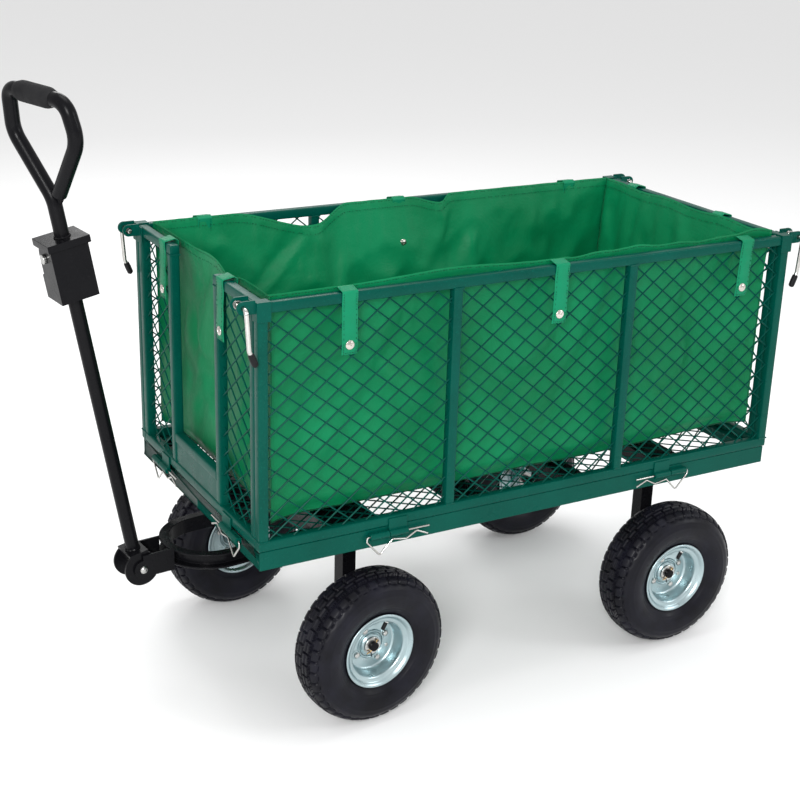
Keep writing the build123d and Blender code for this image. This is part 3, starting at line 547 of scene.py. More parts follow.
def rounded_copy(node, width=0.0009, segments=2):
    """The CAD node's own shape with its sharp edges rounded over."""
    mesh = nodes[node].data.copy()
    bm = bmesh.new()
    bm.from_mesh(mesh)
    bmesh.ops.remove_doubles(bm, verts=bm.verts, dist=2e-6)
    bmesh.ops.dissolve_limit(bm, angle_limit=math.radians(0.6), verts=bm.verts, edges=bm.edges)
    bmesh.ops.recalc_face_normals(bm, faces=bm.faces)
    bm.to_mesh(mesh)
    bm.free()
    custom = mesh.attributes.get("custom_normal")
    if custom:
        mesh.attributes.remove(custom)
    mesh.materials.clear()
    mesh.materials.append(materials[slot_of[node]])
    mesh.shade_smooth()
    piece = bpy.data.objects.new(f"{node}_finished", mesh)
    bpy.context.scene.collection.objects.link(piece)
    bevel = piece.modifiers.new("edges", "BEVEL")
    bevel.width = width
    bevel.segments = segments
    bevel.limit_method = "ANGLE"
    bevel.angle_limit = math.radians(32)
    weighted = piece.modifiers.new("shading", "WEIGHTED_NORMAL")
    weighted.keep_sharp = True
    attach(piece, nodes[node]["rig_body"])
    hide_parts(node)
    return piece


# ---------------------------------------------------------------- cage and bed
def tube_joint(piece, post_low, post_high, z):
    """Weld bead round the end of an upright tube."""
    x0, x1, y0, y1 = post_low[0], post_high[0], post_low[1], post_high[1]
    piece.weld([(x0, y0, z), (x1, y0, z), (x1, y1, z), (x0, y1, z)])


def upright(piece, x, y, z0, z1):
    """Post of square tube between two rails, welded at both ends."""
    low = (x - HALF_TUBE, y - HALF_TUBE, z0)
    high = (x + HALF_TUBE, y + HALF_TUBE, z1)
    piece.bar(low, high)
    for z in (z0, z1):
        tube_joint(piece, low, high, z)


def side_panel_tubes(name, sign):
    piece = Piece("green_steel")
    y = sign * (CAGE_Y - HALF_TUBE)
    for z in (CAGE_BOTTOM, CAGE_TOP - TUBE):
        piece.bar((-CAGE_X, y - HALF_TUBE, z), (CAGE_X, y + HALF_TUBE, z + TUBE))
    corner = CAGE_X - HALF_TUBE
    for x in (-corner, -MULLION_X, MULLION_X, corner):
        upright(piece, x, y, CAGE_BOTTOM + TUBE, CAGE_TOP - TUBE)
    piece.make(f"{name}_tubes", name, [f"{name}_frame"])


def end_panel_tubes(name, sign):
    piece = Piece("green_steel")
    x = sign * (CAGE_X - HALF_TUBE)
    half = HALF_TUBE
    top = CAGE_TOP - TUBE
    piece.bar((x - half, -END_PANEL_Y, CAGE_BOTTOM), (x + half, END_PANEL_Y, CAGE_BOTTOM + TUBE))
    if name == "front_panel":
        gap = INNER_POST_Y - half
        for low, high in ((-END_PANEL_Y, -gap), (gap, END_PANEL_Y)):
            piece.bar((x - half, low, top), (x + half, high, CAGE_TOP))
        piece.bar((x - half, -gap, LOW_RAIL_Z - half), (x + half, gap, LOW_RAIL_Z + half))
    else:
        piece.bar((x - half, -END_PANEL_Y, top), (x + half, END_PANEL_Y, CAGE_TOP))
    for y in (-END_PANEL_Y + half, -INNER_POST_Y, INNER_POST_Y, END_PANEL_Y - half):
        upright(piece, x, y, CAGE_BOTTOM + TUBE, top)
    piece.make(f"{name}_tubes", "bed", [f"{name}_frame"])


def wire_bay(piece, place, rect, node):
    """Two crossing families of wires, cut to a rectangle in the place's XY plane."""
    u0, u1, v0, v1 = rect
    slope = MESH_STEP_Z / MESH_STEP_X
    reach = int((u1 - u0 + (v1 - v0) / slope) / MESH_STEP_X) + 30
    for family in (-1, 1):
        rise = slope * family
        depth = WIRE_R * 0.75 * family
        for k in range(-reach, reach + 1):
            at = node[0] + k * MESH_STEP_X
            ends = sorted((at + (v0 - node[1]) / rise, at + (v1 - node[1]) / rise))
            start, end = max(u0, ends[0]), min(u1, ends[1])
            if end - start < 0.004:
                continue
            path = [place @ Vector((u, node[1] + (u - at) * rise, depth)) for u in (start, end)]
            piece.tube(path, WIRE_R, sides=6, end=0.0)


def panel_wires(name, body, place, bays, crossing_u):
    """Wires in the bays of one panel, between its bottom and top tubes."""
    piece = Piece("green_mesh")
    z0, z1 = CAGE_BOTTOM + TUBE - WIRE_BITE, CAGE_TOP - TUBE + WIRE_BITE
    for u0, u1 in bays:
        wire_bay(piece, place, (u0, u1, z0, z1), (crossing_u, MESH_NODE_Z))
    piece.make(f"{name}_wires", body, [f"{name}_mesh"])


def side_panel_wires(name, sign):
    place = Matrix.Translation((0, sign * (CAGE_Y - HALF_TUBE), 0)) @ turned(90, "X")
    inner = MULLION_X - HALF_TUBE + WIRE_BITE
    middle = MULLION_X + HALF_TUBE - WIRE_BITE
    outer = CAGE_X - TUBE + WIRE_BITE
    bays = [(-outer, -middle), (-inner, inner), (middle, outer)]
    panel_wires(name, name, place, bays, MESH_NODE_X)


def end_panel_wires(name, sign):
    x = sign * (CAGE_X - HALF_TUBE)
    place = Matrix(((0, 0, 1, x), (1, 0, 0, 0), (0, 1, 0, 0), (0, 0, 0, 1)))
    inner = INNER_POST_Y + HALF_TUBE - WIRE_BITE
    outer = END_PANEL_Y - TUBE + WIRE_BITE
    bays = [(-outer, -inner), (inner, outer)]
    if name == "rear_panel":
        between = inner - TUBE + 2 * WIRE_BITE
        bays.append((-between, between))
    panel_wires(name, "bed", place, bays, MESH_NODE_Y)


def deck_wires():
    piece = Piece("green_mesh")
    place = Matrix.Translation((0, 0, (DECK_LOW.z + DECK_HIGH.z) / 2))
    rect = (DECK_LOW.x, DECK_HIGH.x, DECK_LOW.y, DECK_HIGH.y)
    wire_bay(piece, place, rect, (0.0, 0.0))
    piece.make("deck_wires", "bed", ["deck_mesh"])


def make_cage():
    for name, sign in (("near_panel", -1), ("far_panel", 1)):
        side_panel_tubes(name, sign)
        side_panel_wires(name, sign)
        rounded_copy(f"{name}_brackets", 0.0007)
    for name, sign in (("front_panel", -1), ("rear_panel", 1)):
        end_panel_tubes(name, sign)
        end_panel_wires(name, sign)
    deck_wires()
    for node in ("end_panel_brackets", "bed_hinge_knuckles", "front_panel_plate"):
        rounded_copy(node, 0.0007)
    for node in ("bed_rails", "bed_cross_members"):
        rounded_copy(node, 0.0012)


# ---------------------------------------------------------------- clips and latches
def hinge_clip_path(place):
    """Spring clip: straight leg on the hinge axis, waved leg below it, round bow between."""
    points = [(108, 0), (-4, 0), (-4, -8), (19, -34), (42, -10.5), (66, -15), (85, -4.5),
              (106, -14)]
    return bent_path([place @ (Vector((x, 0, z)) * MM) for x, z in points], 3.4 * MM, 6)


def make_clips():
    piece = Piece("zinc_wire")
    low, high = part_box("bed_hinge_knuckles")
    axis_z = joint_point("near_panel_fold").z
    side_y = -joint_point("near_panel_fold").y
    end_x = (high.x - low.x) / 2 - 0.0055
    start = 0.0175
    for flip_x in (1, -1):
        for flip_y in (1, -1):
            flip = Matrix.Diagonal((flip_x, flip_y, 1, 1))
            side = Matrix.Translation((-HINGE_X - start, -side_y, axis_z))
            piece.tube(hinge_clip_path(flip @ side), 0.0015, 12)
            end = Matrix.Translation((-end_x, -HINGE_Y - start, axis_z))
            piece.tube(hinge_clip_path(flip @ end @ turned(90, "Z")),
                       0.0015, 12)
    piece.make("spring_clips", "bed", ["hinge_clips"])


def make_latches():
    """Sliding pins with a collar and a hanging lever, each with a rubber cap."""
    latch_x, latch_z, pin_y, lever_y = 0.519, 0.731, 0.219, 0.264
    collar = [(3.6, 231.8), (6.0, 232.0), (6.5, 232.6), (6.5, 234.4), (6.0, 235.0), (3.6, 235.2)]
    for side, sign_y in (("near", -1), ("far", 1)):
        for end, sign_x in (("front", -1), ("rear", 1)):
            def at(x_in, y, drop):
                return Vector((sign_x * (latch_x - x_in), sign_y * y, latch_z - drop))

            def swell(t):
                return 0.0047 + 0.0005 * math.sin(math.pi * t)

            body = f"latch_{side}_{end}"
            knee, tip = at(0.004, lever_y, 0.060), at(0.013, lever_y, 0.082)
            pin = Piece("zinc_wire")
            pin.tube(bent_path([at(0, pin_y, 0), at(0, lever_y, 0), knee, tip], 0.007, 10),
                     0.0035, 20)
            across = Matrix.Translation(at(0, 0, 0)) @ Matrix.Scale(sign_y, 4, (0, 1, 0))
            pin.lathe(in_metres(collar), across, 32)
            pin.make(f"latch_rod_{side}_{end}", body, [f"latch_pin_{side}_{end}"])
            along = (tip - knee).normalized()
            cap = Piece("black_rubber")
            run = [(knee + along * 0.004).lerp(tip + along * 0.003, k / 8) for k in range(9)]
            cap.tube(run, swell, 20, end=0.45)
            cap.make(f"latch_cap_{side}_{end}", body, [f"latch_tip_{side}_{end}"])


# ---------------------------------------------------------------- wheels
LEG = 0.025
LEG_Y = {"front": 0.158, "rear": 0.162}
TREAD_PITCHES = 40
COLUMNS_PER_PITCH = 13
TREAD_DEPTH = 4.0           # this and the sections below are in mm
SECTION_CENTRE_R = 98.0
HALF_SECTION = [(130, 0), (129.4, 11), (127.4, 21), (123, 30), (115.5, 37), (105, 41.2),
                (95, 42.3), (85, 40.8), (76, 36.6), (70, 32.6), (66.5, 30.6), (65.2, 29.6)]


def tread_height(across, phase):
    """Share of the full tread height, by distance from the crown in mm and place in the pitch."""
    side = 0.5 if across < 0 else 0.0
    a = abs(across)
    p = (phase + side) % 1.0
    cross_cut = step(0.0, 0.05, p) * (1 - step(0.84, 0.90, p))
    teeth = 0.9 if int(p * 10) % 2 else -0.9
    block = step(1.2, 2.4, a) * (1 - step(17.0 + teeth, 18.2 + teeth, a)) * cross_cut
    sipe = 1 - 0.55 * step(7.4, 8.2, a) * (1 - step(9.2, 10.0, a))
    q = (p + 0.45) % 1.0
    middle = 2 * q - 1
    foot = 36.0 - 3.0 * middle * middle
    lug = step(21.5, 22.8, a) * (1 - step(foot - 2.0, foot + 2.5, a))
    lug *= step(-0.92, -0.78, middle) * (1 - step(0.78, 0.92, middle))
    base = step(foot, foot + 5, a) * 0.72
    return max(block * sipe, lug, base)


def sidewall_line(radius):
    """Low moulded rings on the sidewall."""
    height = 0.0
    for ring, width in ((101.0, 0.9), (92.0, 0.6), (79.0, 0.6), (74.5, 0.9), (71.5, 0.6)):
        height = max(height, 1 - abs(radius - ring) / width)
    return max(height, 0.0) * 0.5


def tyre_rings():
    """Sections of the tyre round its axle, each sunk by the tread or raised by the sidewall's rings."""
    half = smooth_curve(HALF_SECTION, 5)
    section = [Vector((r, -y)) for r, y in reversed(half[1:])] + [Vector((r, y)) for r, y in half]
    travelled = [0.0]
    for a, b in zip(section, section[1:]):
        travelled.append(travelled[-1] + (b - a).length)
    middle = travelled[len(travelled) // 2]
    columns = TREAD_PITCHES * COLUMNS_PER_PITCH
    rings = []
    for column in range(columns):
        phase = column % COLUMNS_PER_PITCH / COLUMNS_PER_PITCH
        angle = 2 * math.pi * column / columns
        ring = []
        for (r, y), run in zip(section, travelled):
            across = run - middle
            out = Vector((r - SECTION_CENTRE_R, y)).normalized()
            if abs(across) < 50:
                sunk = (1 - tread_height(across, phase)) * TREAD_DEPTH
                shift = -sunk * (1 - step(40, 50, abs(across)))
            else:
                shift = sidewall_line(r) - 0.5
            rr, yy = (r + out.x * shift) * MM, (y + out.y * shift) * MM
            ring.append(Vector((rr * math.cos(angle), yy, rr * math.sin(angle))))
        for r, y in ((0.0525, 0.024), (0.0525, -0.024)):
            ring.append(Vector((r * math.cos(angle), y, r * math.sin(angle))))
        rings.append(ring)
    return rings


RIM_FACE = [(19, 2.6), (21, 2.8), (22.4, 5.0), (24.0, 5.2), (25.6, 2.9), (28, 2.6), (40, 2.6),
            (43, 3.4), (45.2, 6.6), (46.6, 14), (48.0, 22.6), (49.6, 25.8), (53, 27.4),
            (56.5, 28.4), (59, 31.0), (62, 33.1), (64.4, 32.8), (65, 31.4)]
RIM_BACK = [(64, 30.6), (62, 31.4), (60.2, 29.6), (57.5, 26.6), (53.5, 25.4), (51, 23.8),
            (49.8, 21.5), (48.5, 13), (47.2, 5.6), (44.2, 1.4), (40, 0.6), (19, 0.6)]


HUB = [(8.2, -28), (15.5, -28), (17, -27), (17, 1), (19.5, 2), (19.5, 5.5), (17.5, 7.6), (14, 8),
       (8.2, 8)]
RIM_BOLTS = (65, 155, 245, 335)        # degrees round the hub
RIM_RIVETS = (20, 200)
BOLT_WASHER = [(0.0075, -0.0006), (0.0075, 0.0004), (0.0063, 0.0010)]
BOLT_HEAD = [(0.0054, 0.0004), (0.0054, 0.0030), (0.0047, 0.0046), (0.0030, 0.0056),
             (0.0006, 0.0059)]
RIVET = [(0.0036, 0), (0.0036, 0.0008), (0.002, 0.0013), (0.0005, 0.0013)]


def on_rim(degrees, radius):
    """Place on the rim's pressed face."""
    a = math.radians(degrees)
    return Matrix.Translation((radius * math.cos(a), 0.0026, radius * math.sin(a)))


def rim_piece(name, place, body, node):
    """Two pressed halves bolted together round a hub tube."""
    piece = Piece("zinc_rim", "zinc_bolt")
    face = smooth_curve(RIM_FACE, 3) + smooth_curve(RIM_BACK, 2)
    sides = [place @ Matrix.Diagonal((1, flip, 1, 1)) for flip in (1, -1)]
    for side in sides:
        piece.lathe(in_metres(face), side, 96, wrap=True)
    piece.lathe(in_metres(HUB), place, 64, wrap=True)
    for degrees in RIM_BOLTS:
        for side in sides:
            at = side @ on_rim(degrees, 0.030)
            piece.kind = 0
            piece.lathe(BOLT_WASHER, at, 24)
            piece.kind = 1
            piece.lathe(BOLT_HEAD, at, 24)
    for degrees in RIM_RIVETS:
        piece.lathe(RIVET, place @ on_rim(degrees, 0.0335), 16)
    piece.make(name, body, [node], crease=30)


def valve(piece, place):
    """Rubber stem with a metal nut and cap, lying across the rim's bowl towards the hub."""
    a = math.radians(120)
    spoke = Vector((math.cos(a), 0, math.sin(a)))

    def at(radius):
        return place @ (spoke * radius + Vector((0, 0.014, 0)))

    piece.kind = 1
    piece.tube([at(0.056), at(0.0445)], 0.0032, 16)
    piece.tube([at(0.0470), at(0.0440)], 0.0050, 6, end=0.1)
    piece.kind = 2
    piece.tube([at(0.0445), at(0.040), at(0.036), at(0.0305)], 0.0034, 20)


def nubs(piece, place):
    """Short vent hairs left by the mould, in two rings on the outer sidewall."""
    for radius, across, count in ((0.109, 0.0392, 34), (0.087, 0.0408, 26)):
        for k in range(count):
            a = 2 * math.pi * (k + 0.3 * math.sin(k * 7.3)) / count
            foot = Vector((radius * math.cos(a), across, radius * math.sin(a)))
            piece.tube([place @ foot, place @ (foot + Vector((0, 0.0011, 0)))], 0.0004, 6)


def make_wheels():
    rings = tyre_rings()
    for side, sign in (("near", -1), ("far", 1)):
        for end in ("front", "rear"):
            body = f"wheel_{side}_{end}"
            low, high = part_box(f"tyre_{side}_{end}")
            centre = (low + high) / 2
            place = Matrix.Translation(centre) @ (TURN if end == "front" else Matrix())
            if sign < 0:
                place = place @ Matrix.Rotation(math.pi, 4, "Z")
            spin = turned(7 if end == "front" else 11, "Y")
            piece = Piece("tyre_rubber", "zinc_bolt",
                          "black_rubber")
            piece.loft([[place @ spin @ p for p in ring] for ring in rings], wrap=True)
            nubs(piece, place)
            valve(piece, place)
            piece.make(f"tyre_{side}_{end}_tread", body,
                       [f"tyre_{side}_{end}"], crease=50)
            rim_piece(f"wheel_rim_{side}_{end}", place, body, f"rim_{side}_{end}")


def make_axles():
    """Stub axles with turned ends, hub washers and split pins."""
    for end, body in (("front", "steering"), ("rear", "bed")):
        near_low, near_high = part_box(f"tyre_near_{end}")
        far_low, far_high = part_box(f"tyre_far_{end}")
        near, far = (near_low + near_high) / 2, (far_low + far_high) / 2
        turn = TURN if end == "front" else Matrix()
        place = Matrix.Translation((near + far) / 2) @ turn
        half = (far - near).length / 2
        root, tip = LEG_Y[end] - LEG / 2 - 0.004, half + 0.017
        bar = Piece("black_steel")
        for sign in (-1, 1):
            stub = place @ Matrix.Diagonal((sign, sign, 1, 1))
            bar.lathe([(0.0070, root), (0.0080, root + 0.0010), (0.0080, tip - 0.0012),
                       (0.0071, tip - 0.0002), (0.0062, tip), (0.0004, tip)], stub, 40)
        bar.make(f"{end}_stub_axles", body, [f"{end}_axle"])
        small = Piece("zinc_bolt", "black_steel", "brass")
        for sign in (-1, 1):
            hub = place @ Matrix.Diagonal((sign, sign, 1, 1)) @ Matrix.Translation((0, half, 0))
            small.kind = 0
            for y, r in ((0.0084, 0.015), (-0.0309, 0.015)):
                small.lathe([(0.0081, y), (r - 0.0004, y), (r, y + 0.0005), (r, y + 0.0020),
                             (r - 0.0006, y + 0.0025), (0.0081, y + 0.0025)], hub, 48, wrap=True)
            split_pin(small, hub, 0.0134)
        small.make(f"{end}_axle_washers_and_pins", body,
                   [f"{end}_axle_fasteners"])


def split_pin(piece, hub, across):
    """Split pin through the axle's end: eye on one side, spread legs on the other."""
    lean = turned(-38, "Y")
    for kind, spread in ((1, -0.0022), (2, 0.0022)):
        piece.kind = kind
        points = [(0.0002 * spread, 0, 0.0125), (spread * 0.9, 0, 0.0105), (0.0004, 0, 0.0080),
                  (0.0004, 0, -0.0082), (spread * 1.3, 0.0008, -0.0125),
                  (spread * 2.6, 0.0014, -0.0162)]
        path = smooth_curve([hub @ lean @ (Vector(p) + Vector((0, across, 0))) for p in points], 5)
        piece.tube(path, 0.0009, 8)


# ---------------------------------------------------------------- handle and running gear
def loop_point(across, along):
    lid_top = 561
    return HANDLE @ (Vector((across * math.sin(LOOP_YAW), -across * math.cos(LOOP_YAW),
                             lid_top + along)) * MM)


GRIP_FAR, GRIP_NEAR = (-41.0, 216.0), (84.0, 204.0)


def make_handle():
    loop = Piece("black_steel")
    plan = [(5, 0), (5, 58), (-53, 152), GRIP_FAR, GRIP_NEAR, (92, 150), (22, 66)]
    bends = [r * MM for r in (45, 40, 19, 24, 45)]
    loop.tube(bent_path([loop_point(*p) for p in plan], bends, 14), 0.011, 32, end=0.05)
    loop.weld_round(loop_point(5, 0), 0.0112, 0.0006, 0.0020)
    seam = [loop_point(*p) for p in ((20, 52), (29, 62), (24, 80), (11, 72))]
    loop.weld(seam, 0.0022)
    loop.make("handle_loop_tube", "handle_upper", ["handle_loop"])

    grip = Piece("foam_grip")
    ends = []
    for share in (0.17, 0.80):
        across = GRIP_FAR[0] + share * (GRIP_NEAR[0] - GRIP_FAR[0])
        along = GRIP_FAR[1] + share * (GRIP_NEAR[1] - GRIP_FAR[1])
        ends.append(loop_point(across, along))

    def girth(t):
        taper = min(t, 1 - t)
        return 0.0122 + 0.0028 * step(0.0, 0.16, taper)

    run = [ends[0].lerp(ends[1], k / 24) for k in range(25)]
    grip.tube(run, girth, 36, end=0.12)
    grip_piece = grip.make("grip_foam", "handle_upper", ["handle_grip"])

    shaft = Piece("black_steel")
    low, high = HANDLE @ Vector((0, 0, 0.029)), HANDLE @ Vector((0, 0, 0.468))
    shaft.tube([low, high], 0.011, 40, end=0.02)
    for end, along in ((low, 0.001), (high, -0.001)):
        shaft.weld_round(end, 0.0112, along, 0.0019)
    shaft.make("lower_shaft_tube", "handle_lower", ["lower_shaft"])
    for node in ("handle_fork", "hitch_box", "hitch_lid"):
        rounded_copy(node, 0.0011, 3)
    rounded_copy("fold_pin", 0.0009, 3)


def make_running_gear():
    for node, width in (("steering_beam", 0.0014), ("steering_bow", 0.0011),
                        ("tongue_channel", 0.0011), ("front_legs", 0.0014), ("rear_legs", 0.0014),
                        ("pivot_plate", 0.0008), ("kingpin_bolt", 0.0008)):
        rounded_copy(node, width, 3)
    bolt = Piece("zinc_bolt")
    wall = 0.028                # outer face of the tongue's wall from its middle
    place = Matrix.Translation(joint_point("handle_tilt")) @ TURN
    head = [(0.0005, wall + 0.0052), (0.0032, wall + 0.0048), (0.0056, wall + 0.0034),
            (0.0066, wall + 0.0014), (0.0066, wall), (0.0058, wall - 0.0005)]
    bolt.lathe(head + [(r, -y) for r, y in reversed(head)], place, 32)
    bolt.make("tongue_pin", "steering", ["tongue_bolt"])


# ---------------------------------------------------------------- liner
LINER_X = LINER_HIGH.x
LINER_Y = LINER_HIGH.y
RIM_Z = 0.738
FLOOR_Z = 0.388
GRID_X, GRID_Y, GRID_Z = 124, 62, 46
ON_WALL = 0.002             # a point of the outline this near a side belongs to that side
FABRIC_THICK = 0.0010
WELT_R = 0.0011
CLOTH = {"quality": 6, "mass": 0.35, "tension_stiffness": 28, "compression_stiffness": 18,
         "shear_stiffness": 12, "bending_stiffness": 1.6, "air_damping": 3, "shrink_min": -0.012}
GRAVITY_SHARE = 0.35
FRAMES = 24
ENDS_LOOSE, MIDDLE_LOOSE = 0.004, 0.008   # how far settling may move the ends, and the middle more
NEAR_STRAPS = (-0.3525, 0.0228, 0.402)
FAR_STRAPS = (-0.380, 0.0, 0.380)
FRONT_STRAPS = (-0.120, 0.122)
REAR_STRAPS = (-0.090, 0.160)


# Folds of each wall: depth, place along the wall, lean, the drop at which it has that place, width,
# and the drops below the rim where it starts and where it is at full depth.
FOLDS = {
    "near": ((0.011, -0.28, -0.55, 0.15, 0.026, 0.02, 0.1), (0.010, -0.07, 0.5, 0.15, 0.026, 0.02, 0.1),
             (0.011, 0.12, -0.6, 0.15, 0.026, 0.02, 0.1), (0.009, 0.33, 0.35, 0.15, 0.026, 0.02, 0.1)),
    "far": ((0.008, -0.125, 0.0, 0.0, 0.016, 0.03, 0.10), (0.010, -0.05, 0.25, 0.1, 0.022, 0.06, 0.16),
            (0.011, 0.150, 0.0, 0.0, 0.013, 0.06, 0.10), (0.006, 0.100, -0.4, 0.0, 0.020, -0.2, -0.1)),
    "front": ((0.007, -0.02, 0.4, 0.1, 0.025, 0.02, 0.1),),
}


def wall_at(x, y):
    if abs(y) > LINER_Y - ON_WALL:
        return "far" if y > 0 else "near"
    return "front" if x < 0 else "rear"


def rim_shape(x, y):
    """Height of the liner's rim and how far it leans inwards, round the cage."""
    wall = wall_at(x, y)
    if wall == "near":
        height = 0.006 * bell(x, -0.16, 0.10) + 0.004 * bell(x, 0.17, 0.07)
        height += 0.008 * bell(x, 0.43, 0.05) + 0.0012 * math.sin(x * 75) * (x > 0.05)
        return RIM_Z + 0.002 + height, 0.004 * bell(x, -0.2, 0.10) + 0.003 * bell(x, 0.22, 0.12)
    if wall == "far":
        sag = 0.030 * step(-0.33, -0.185, x) * (1 - step(-0.180, -0.105, x))
        sag += 0.014 * step(0.02, 0.085, x) * (1 - step(0.085, 0.11, x))
        return RIM_Z - sag + 0.001, 0.6 * sag
    if wall == "front":
        return RIM_Z + 0.004 * bell(y, -0.01, 0.05) - 0.012 * bell(y, -0.085, 0.03), 0.003
    return RIM_Z + 0.002 * math.sin(y * 40), 0.004


def wall_folds(x, y, z):
    """Inward depth of the folds and creases on the walls."""
    wall = wall_at(x, y)
    along = x if wall in ("near", "far") else y
    drop = RIM_Z - z
    depth = 0.0
    if wall == "far":
        # A flap hangs inwards on one side of a line that slopes down from the rim.
        line = 0.7 * (x + 0.185) + 0.7 * (0.712 - z)
        flap = step(-0.004, 0.004, line) * math.exp(-max(line, 0) / 0.10)
        depth += 0.026 * flap * step(0.0, 0.02, drop) * (1 - step(0.20, 0.30, drop))
    for amount, foot, lean, level, width, start, full in FOLDS.get(wall, ()):
        depth += amount * bell(along - lean * (drop - level), foot, width) * step(start, full, drop)
    if wall == "near":
        depth += 0.004
    if wall == "rear":
        depth += 0.014 + 0.012 * step(0.0, 0.25, drop) + 0.006 * bell(y, -0.05, 0.05)
    return depth


def wall_point(x, y, share):
    """Point of the wall under a place on the rim; share runs from the rim to the floor's edge."""
    top, lean = rim_shape(x, y)
    # The floor's edge hangs low at mid length and climbs towards the rear and both ends.
    ends = 0.006 * (abs(x) / LINER_X) ** 3
    rise = 0.010 * step(0.1, 0.47, x) + ends * 0.6 - 0.012
    bottom = FLOOR_Z + rise
    z = top + (bottom - top) * share
    # The wall rolls inwards where it meets the floor, and ripples most at mid height.
    tuck = 0.016 * step(0.90, 1.0, share) ** 1.5
    depth = lean * (1 - share) ** 2 + wall_folds(x, y, z) * math.sin(math.pi * share) ** 0.5
    lean_in = x * 7 + y * 7 + z * 3
    ripple = 0.011 * (1 - 3.2 * abs(noise.noise(Vector((lean_in, y * 7, z * 6 - x * 2)))))
    ripple += 0.0035 * (1 - 3 * abs(noise.noise(Vector((x * 19 - z * 6, y * 19, z * 15 + 4)))))
    depth += tuck + max(0.0, ripple) * math.sin(math.pi * share) ** 0.6
    pulled = 0.003 * step(0.0, 0.10, top - z) * step(0.36, LINER_X, x)
    # Folds fade out over this distance from a corner, so the two walls meet.
    corner = 0.06
    near_x = max(0.0, 1 - (LINER_X - abs(x)) / corner)
    near_y = max(0.0, 1 - (LINER_Y - abs(y)) / corner)
    if wall_at(x, y) in ("near", "far"):
        return Vector((x - pulled, y - math.copysign(depth * (1 - near_x ** 2), y), z))
    return Vector((x - pulled - math.copysign(depth * (1 - near_y ** 2), x), y, z))


def liner_grid():
    """Floor grid with walls raised from its border: points, faces and the border's order."""
    xs = [-LINER_X + 2 * LINER_X * i / GRID_X for i in range(GRID_X + 1)]
    ys = [-LINER_Y + 2 * LINER_Y * j / GRID_Y for j in range(GRID_Y + 1)]
    border = [(x, ys[0]) for x in xs[:-1]] + [(xs[-1], y) for y in ys[:-1]]
    border += [(x, ys[-1]) for x in xs[:0:-1]] + [(xs[0], y) for y in ys[:0:-1]]
    count = len(border)
    points, faces = [], []
    for row in range(GRID_Z + 1):
        points += [wall_point(x, y, row / GRID_Z) for x, y in border]
    for row in range(GRID_Z):
        a, b = row * count, (row + 1) * count
        faces += [[a + k, a + (k + 1) % count, b + (k + 1) % count, b + k] for k in range(count)]
    index = {(round(x, 6), round(y, 6)): GRID_Z * count + k for k, (x, y) in enumerate(border)}
    for x in xs[1:-1]:
        for y in ys[1:-1]:
            index[(round(x, 6), round(y, 6))] = len(points)
            edge = min(LINER_X - abs(x), LINER_Y - abs(y))
            base = wall_point(x, math.copysign(LINER_Y, y), 1.0).z
            sink = 0.012 * step(0.0, 0.12, edge)
            crease = 0.004 * noise.noise(Vector((x * 11, y * 11, 3)))
            points.append(Vector((x * 0.97, y * 0.94, base - sink + crease)))
    for i in range(GRID_X):
        for j in range(GRID_Y):
            corners = ((i, j), (i, j + 1), (i + 1, j + 1), (i + 1, j))
            faces.append([index[(round(xs[a], 6), round(ys[b], 6))] for a, b in corners])
    return points, faces, count


def settle(piece, pinned):
    """Let the cloth hang from its rim, then keep the result."""
    group = piece.vertex_groups.new(name="pinned")
    group.add(pinned, 1.0, "REPLACE")
    cloth = piece.modifiers.new("cloth", "CLOTH")
    for name, value in CLOTH.items():
        setattr(cloth.settings, name, value)
    cloth.settings.vertex_group_mass = "pinned"
    cloth.settings.effector_weights.gravity = GRAVITY_SHARE
    cloth.collision_settings.use_collision = False
    cloth.point_cache.frame_start = 1
    cloth.point_cache.frame_end = FRAMES
    for number in range(1, FRAMES + 1):
        bpy.context.scene.frame_set(number)
    settled = piece.evaluated_get(bpy.context.evaluated_depsgraph_get())
    places = [v.co.copy() for v in settled.data.vertices]
    piece.modifiers.remove(cloth)
    bpy.context.scene.frame_set(1)
    return places


def keep_inside(point, start):
    """Stop a settled point at the cage and the deck, and limit how far it moved."""
    limit_x, limit_y = CAGE_X - TUBE - FABRIC_THICK, CAGE_Y - TUBE - FABRIC_THICK
    lowest = DECK_HIGH.z + 0.004
    moved = point - start
    most = ENDS_LOOSE + MIDDLE_LOOSE * (1 - abs(start.x) / LINER_X)
    if moved.length > most:
        moved *= most / moved.length
    point = start + moved
    return Vector((max(-limit_x, min(limit_x, point.x)), max(-limit_y, min(limit_y, point.y)),
                   max(lowest, point.z)))


def stitches(piece, line, out, pitch=0.0046, length=0.0031, radius=0.00042):
    """A row of short raised threads along a line, each lifted outwards by out(index)."""
    run = 0.0
    for i in range(len(line) - 1):
        a, b = line[i], line[i + 1]
        span = (b - a).length
        lift = out(i)
        while run < span:
            start = a.lerp(b, run / span)
            finish = a.lerp(b, min(1.0, (run + length) / span))
            if (finish - start).length > 0.0008:
                piece.tube([start + lift * 0.2, (start + finish) / 2 + lift, finish + lift * 0.2],
                           radius, 5, end=0.3)
            run += pitch
        run -= span


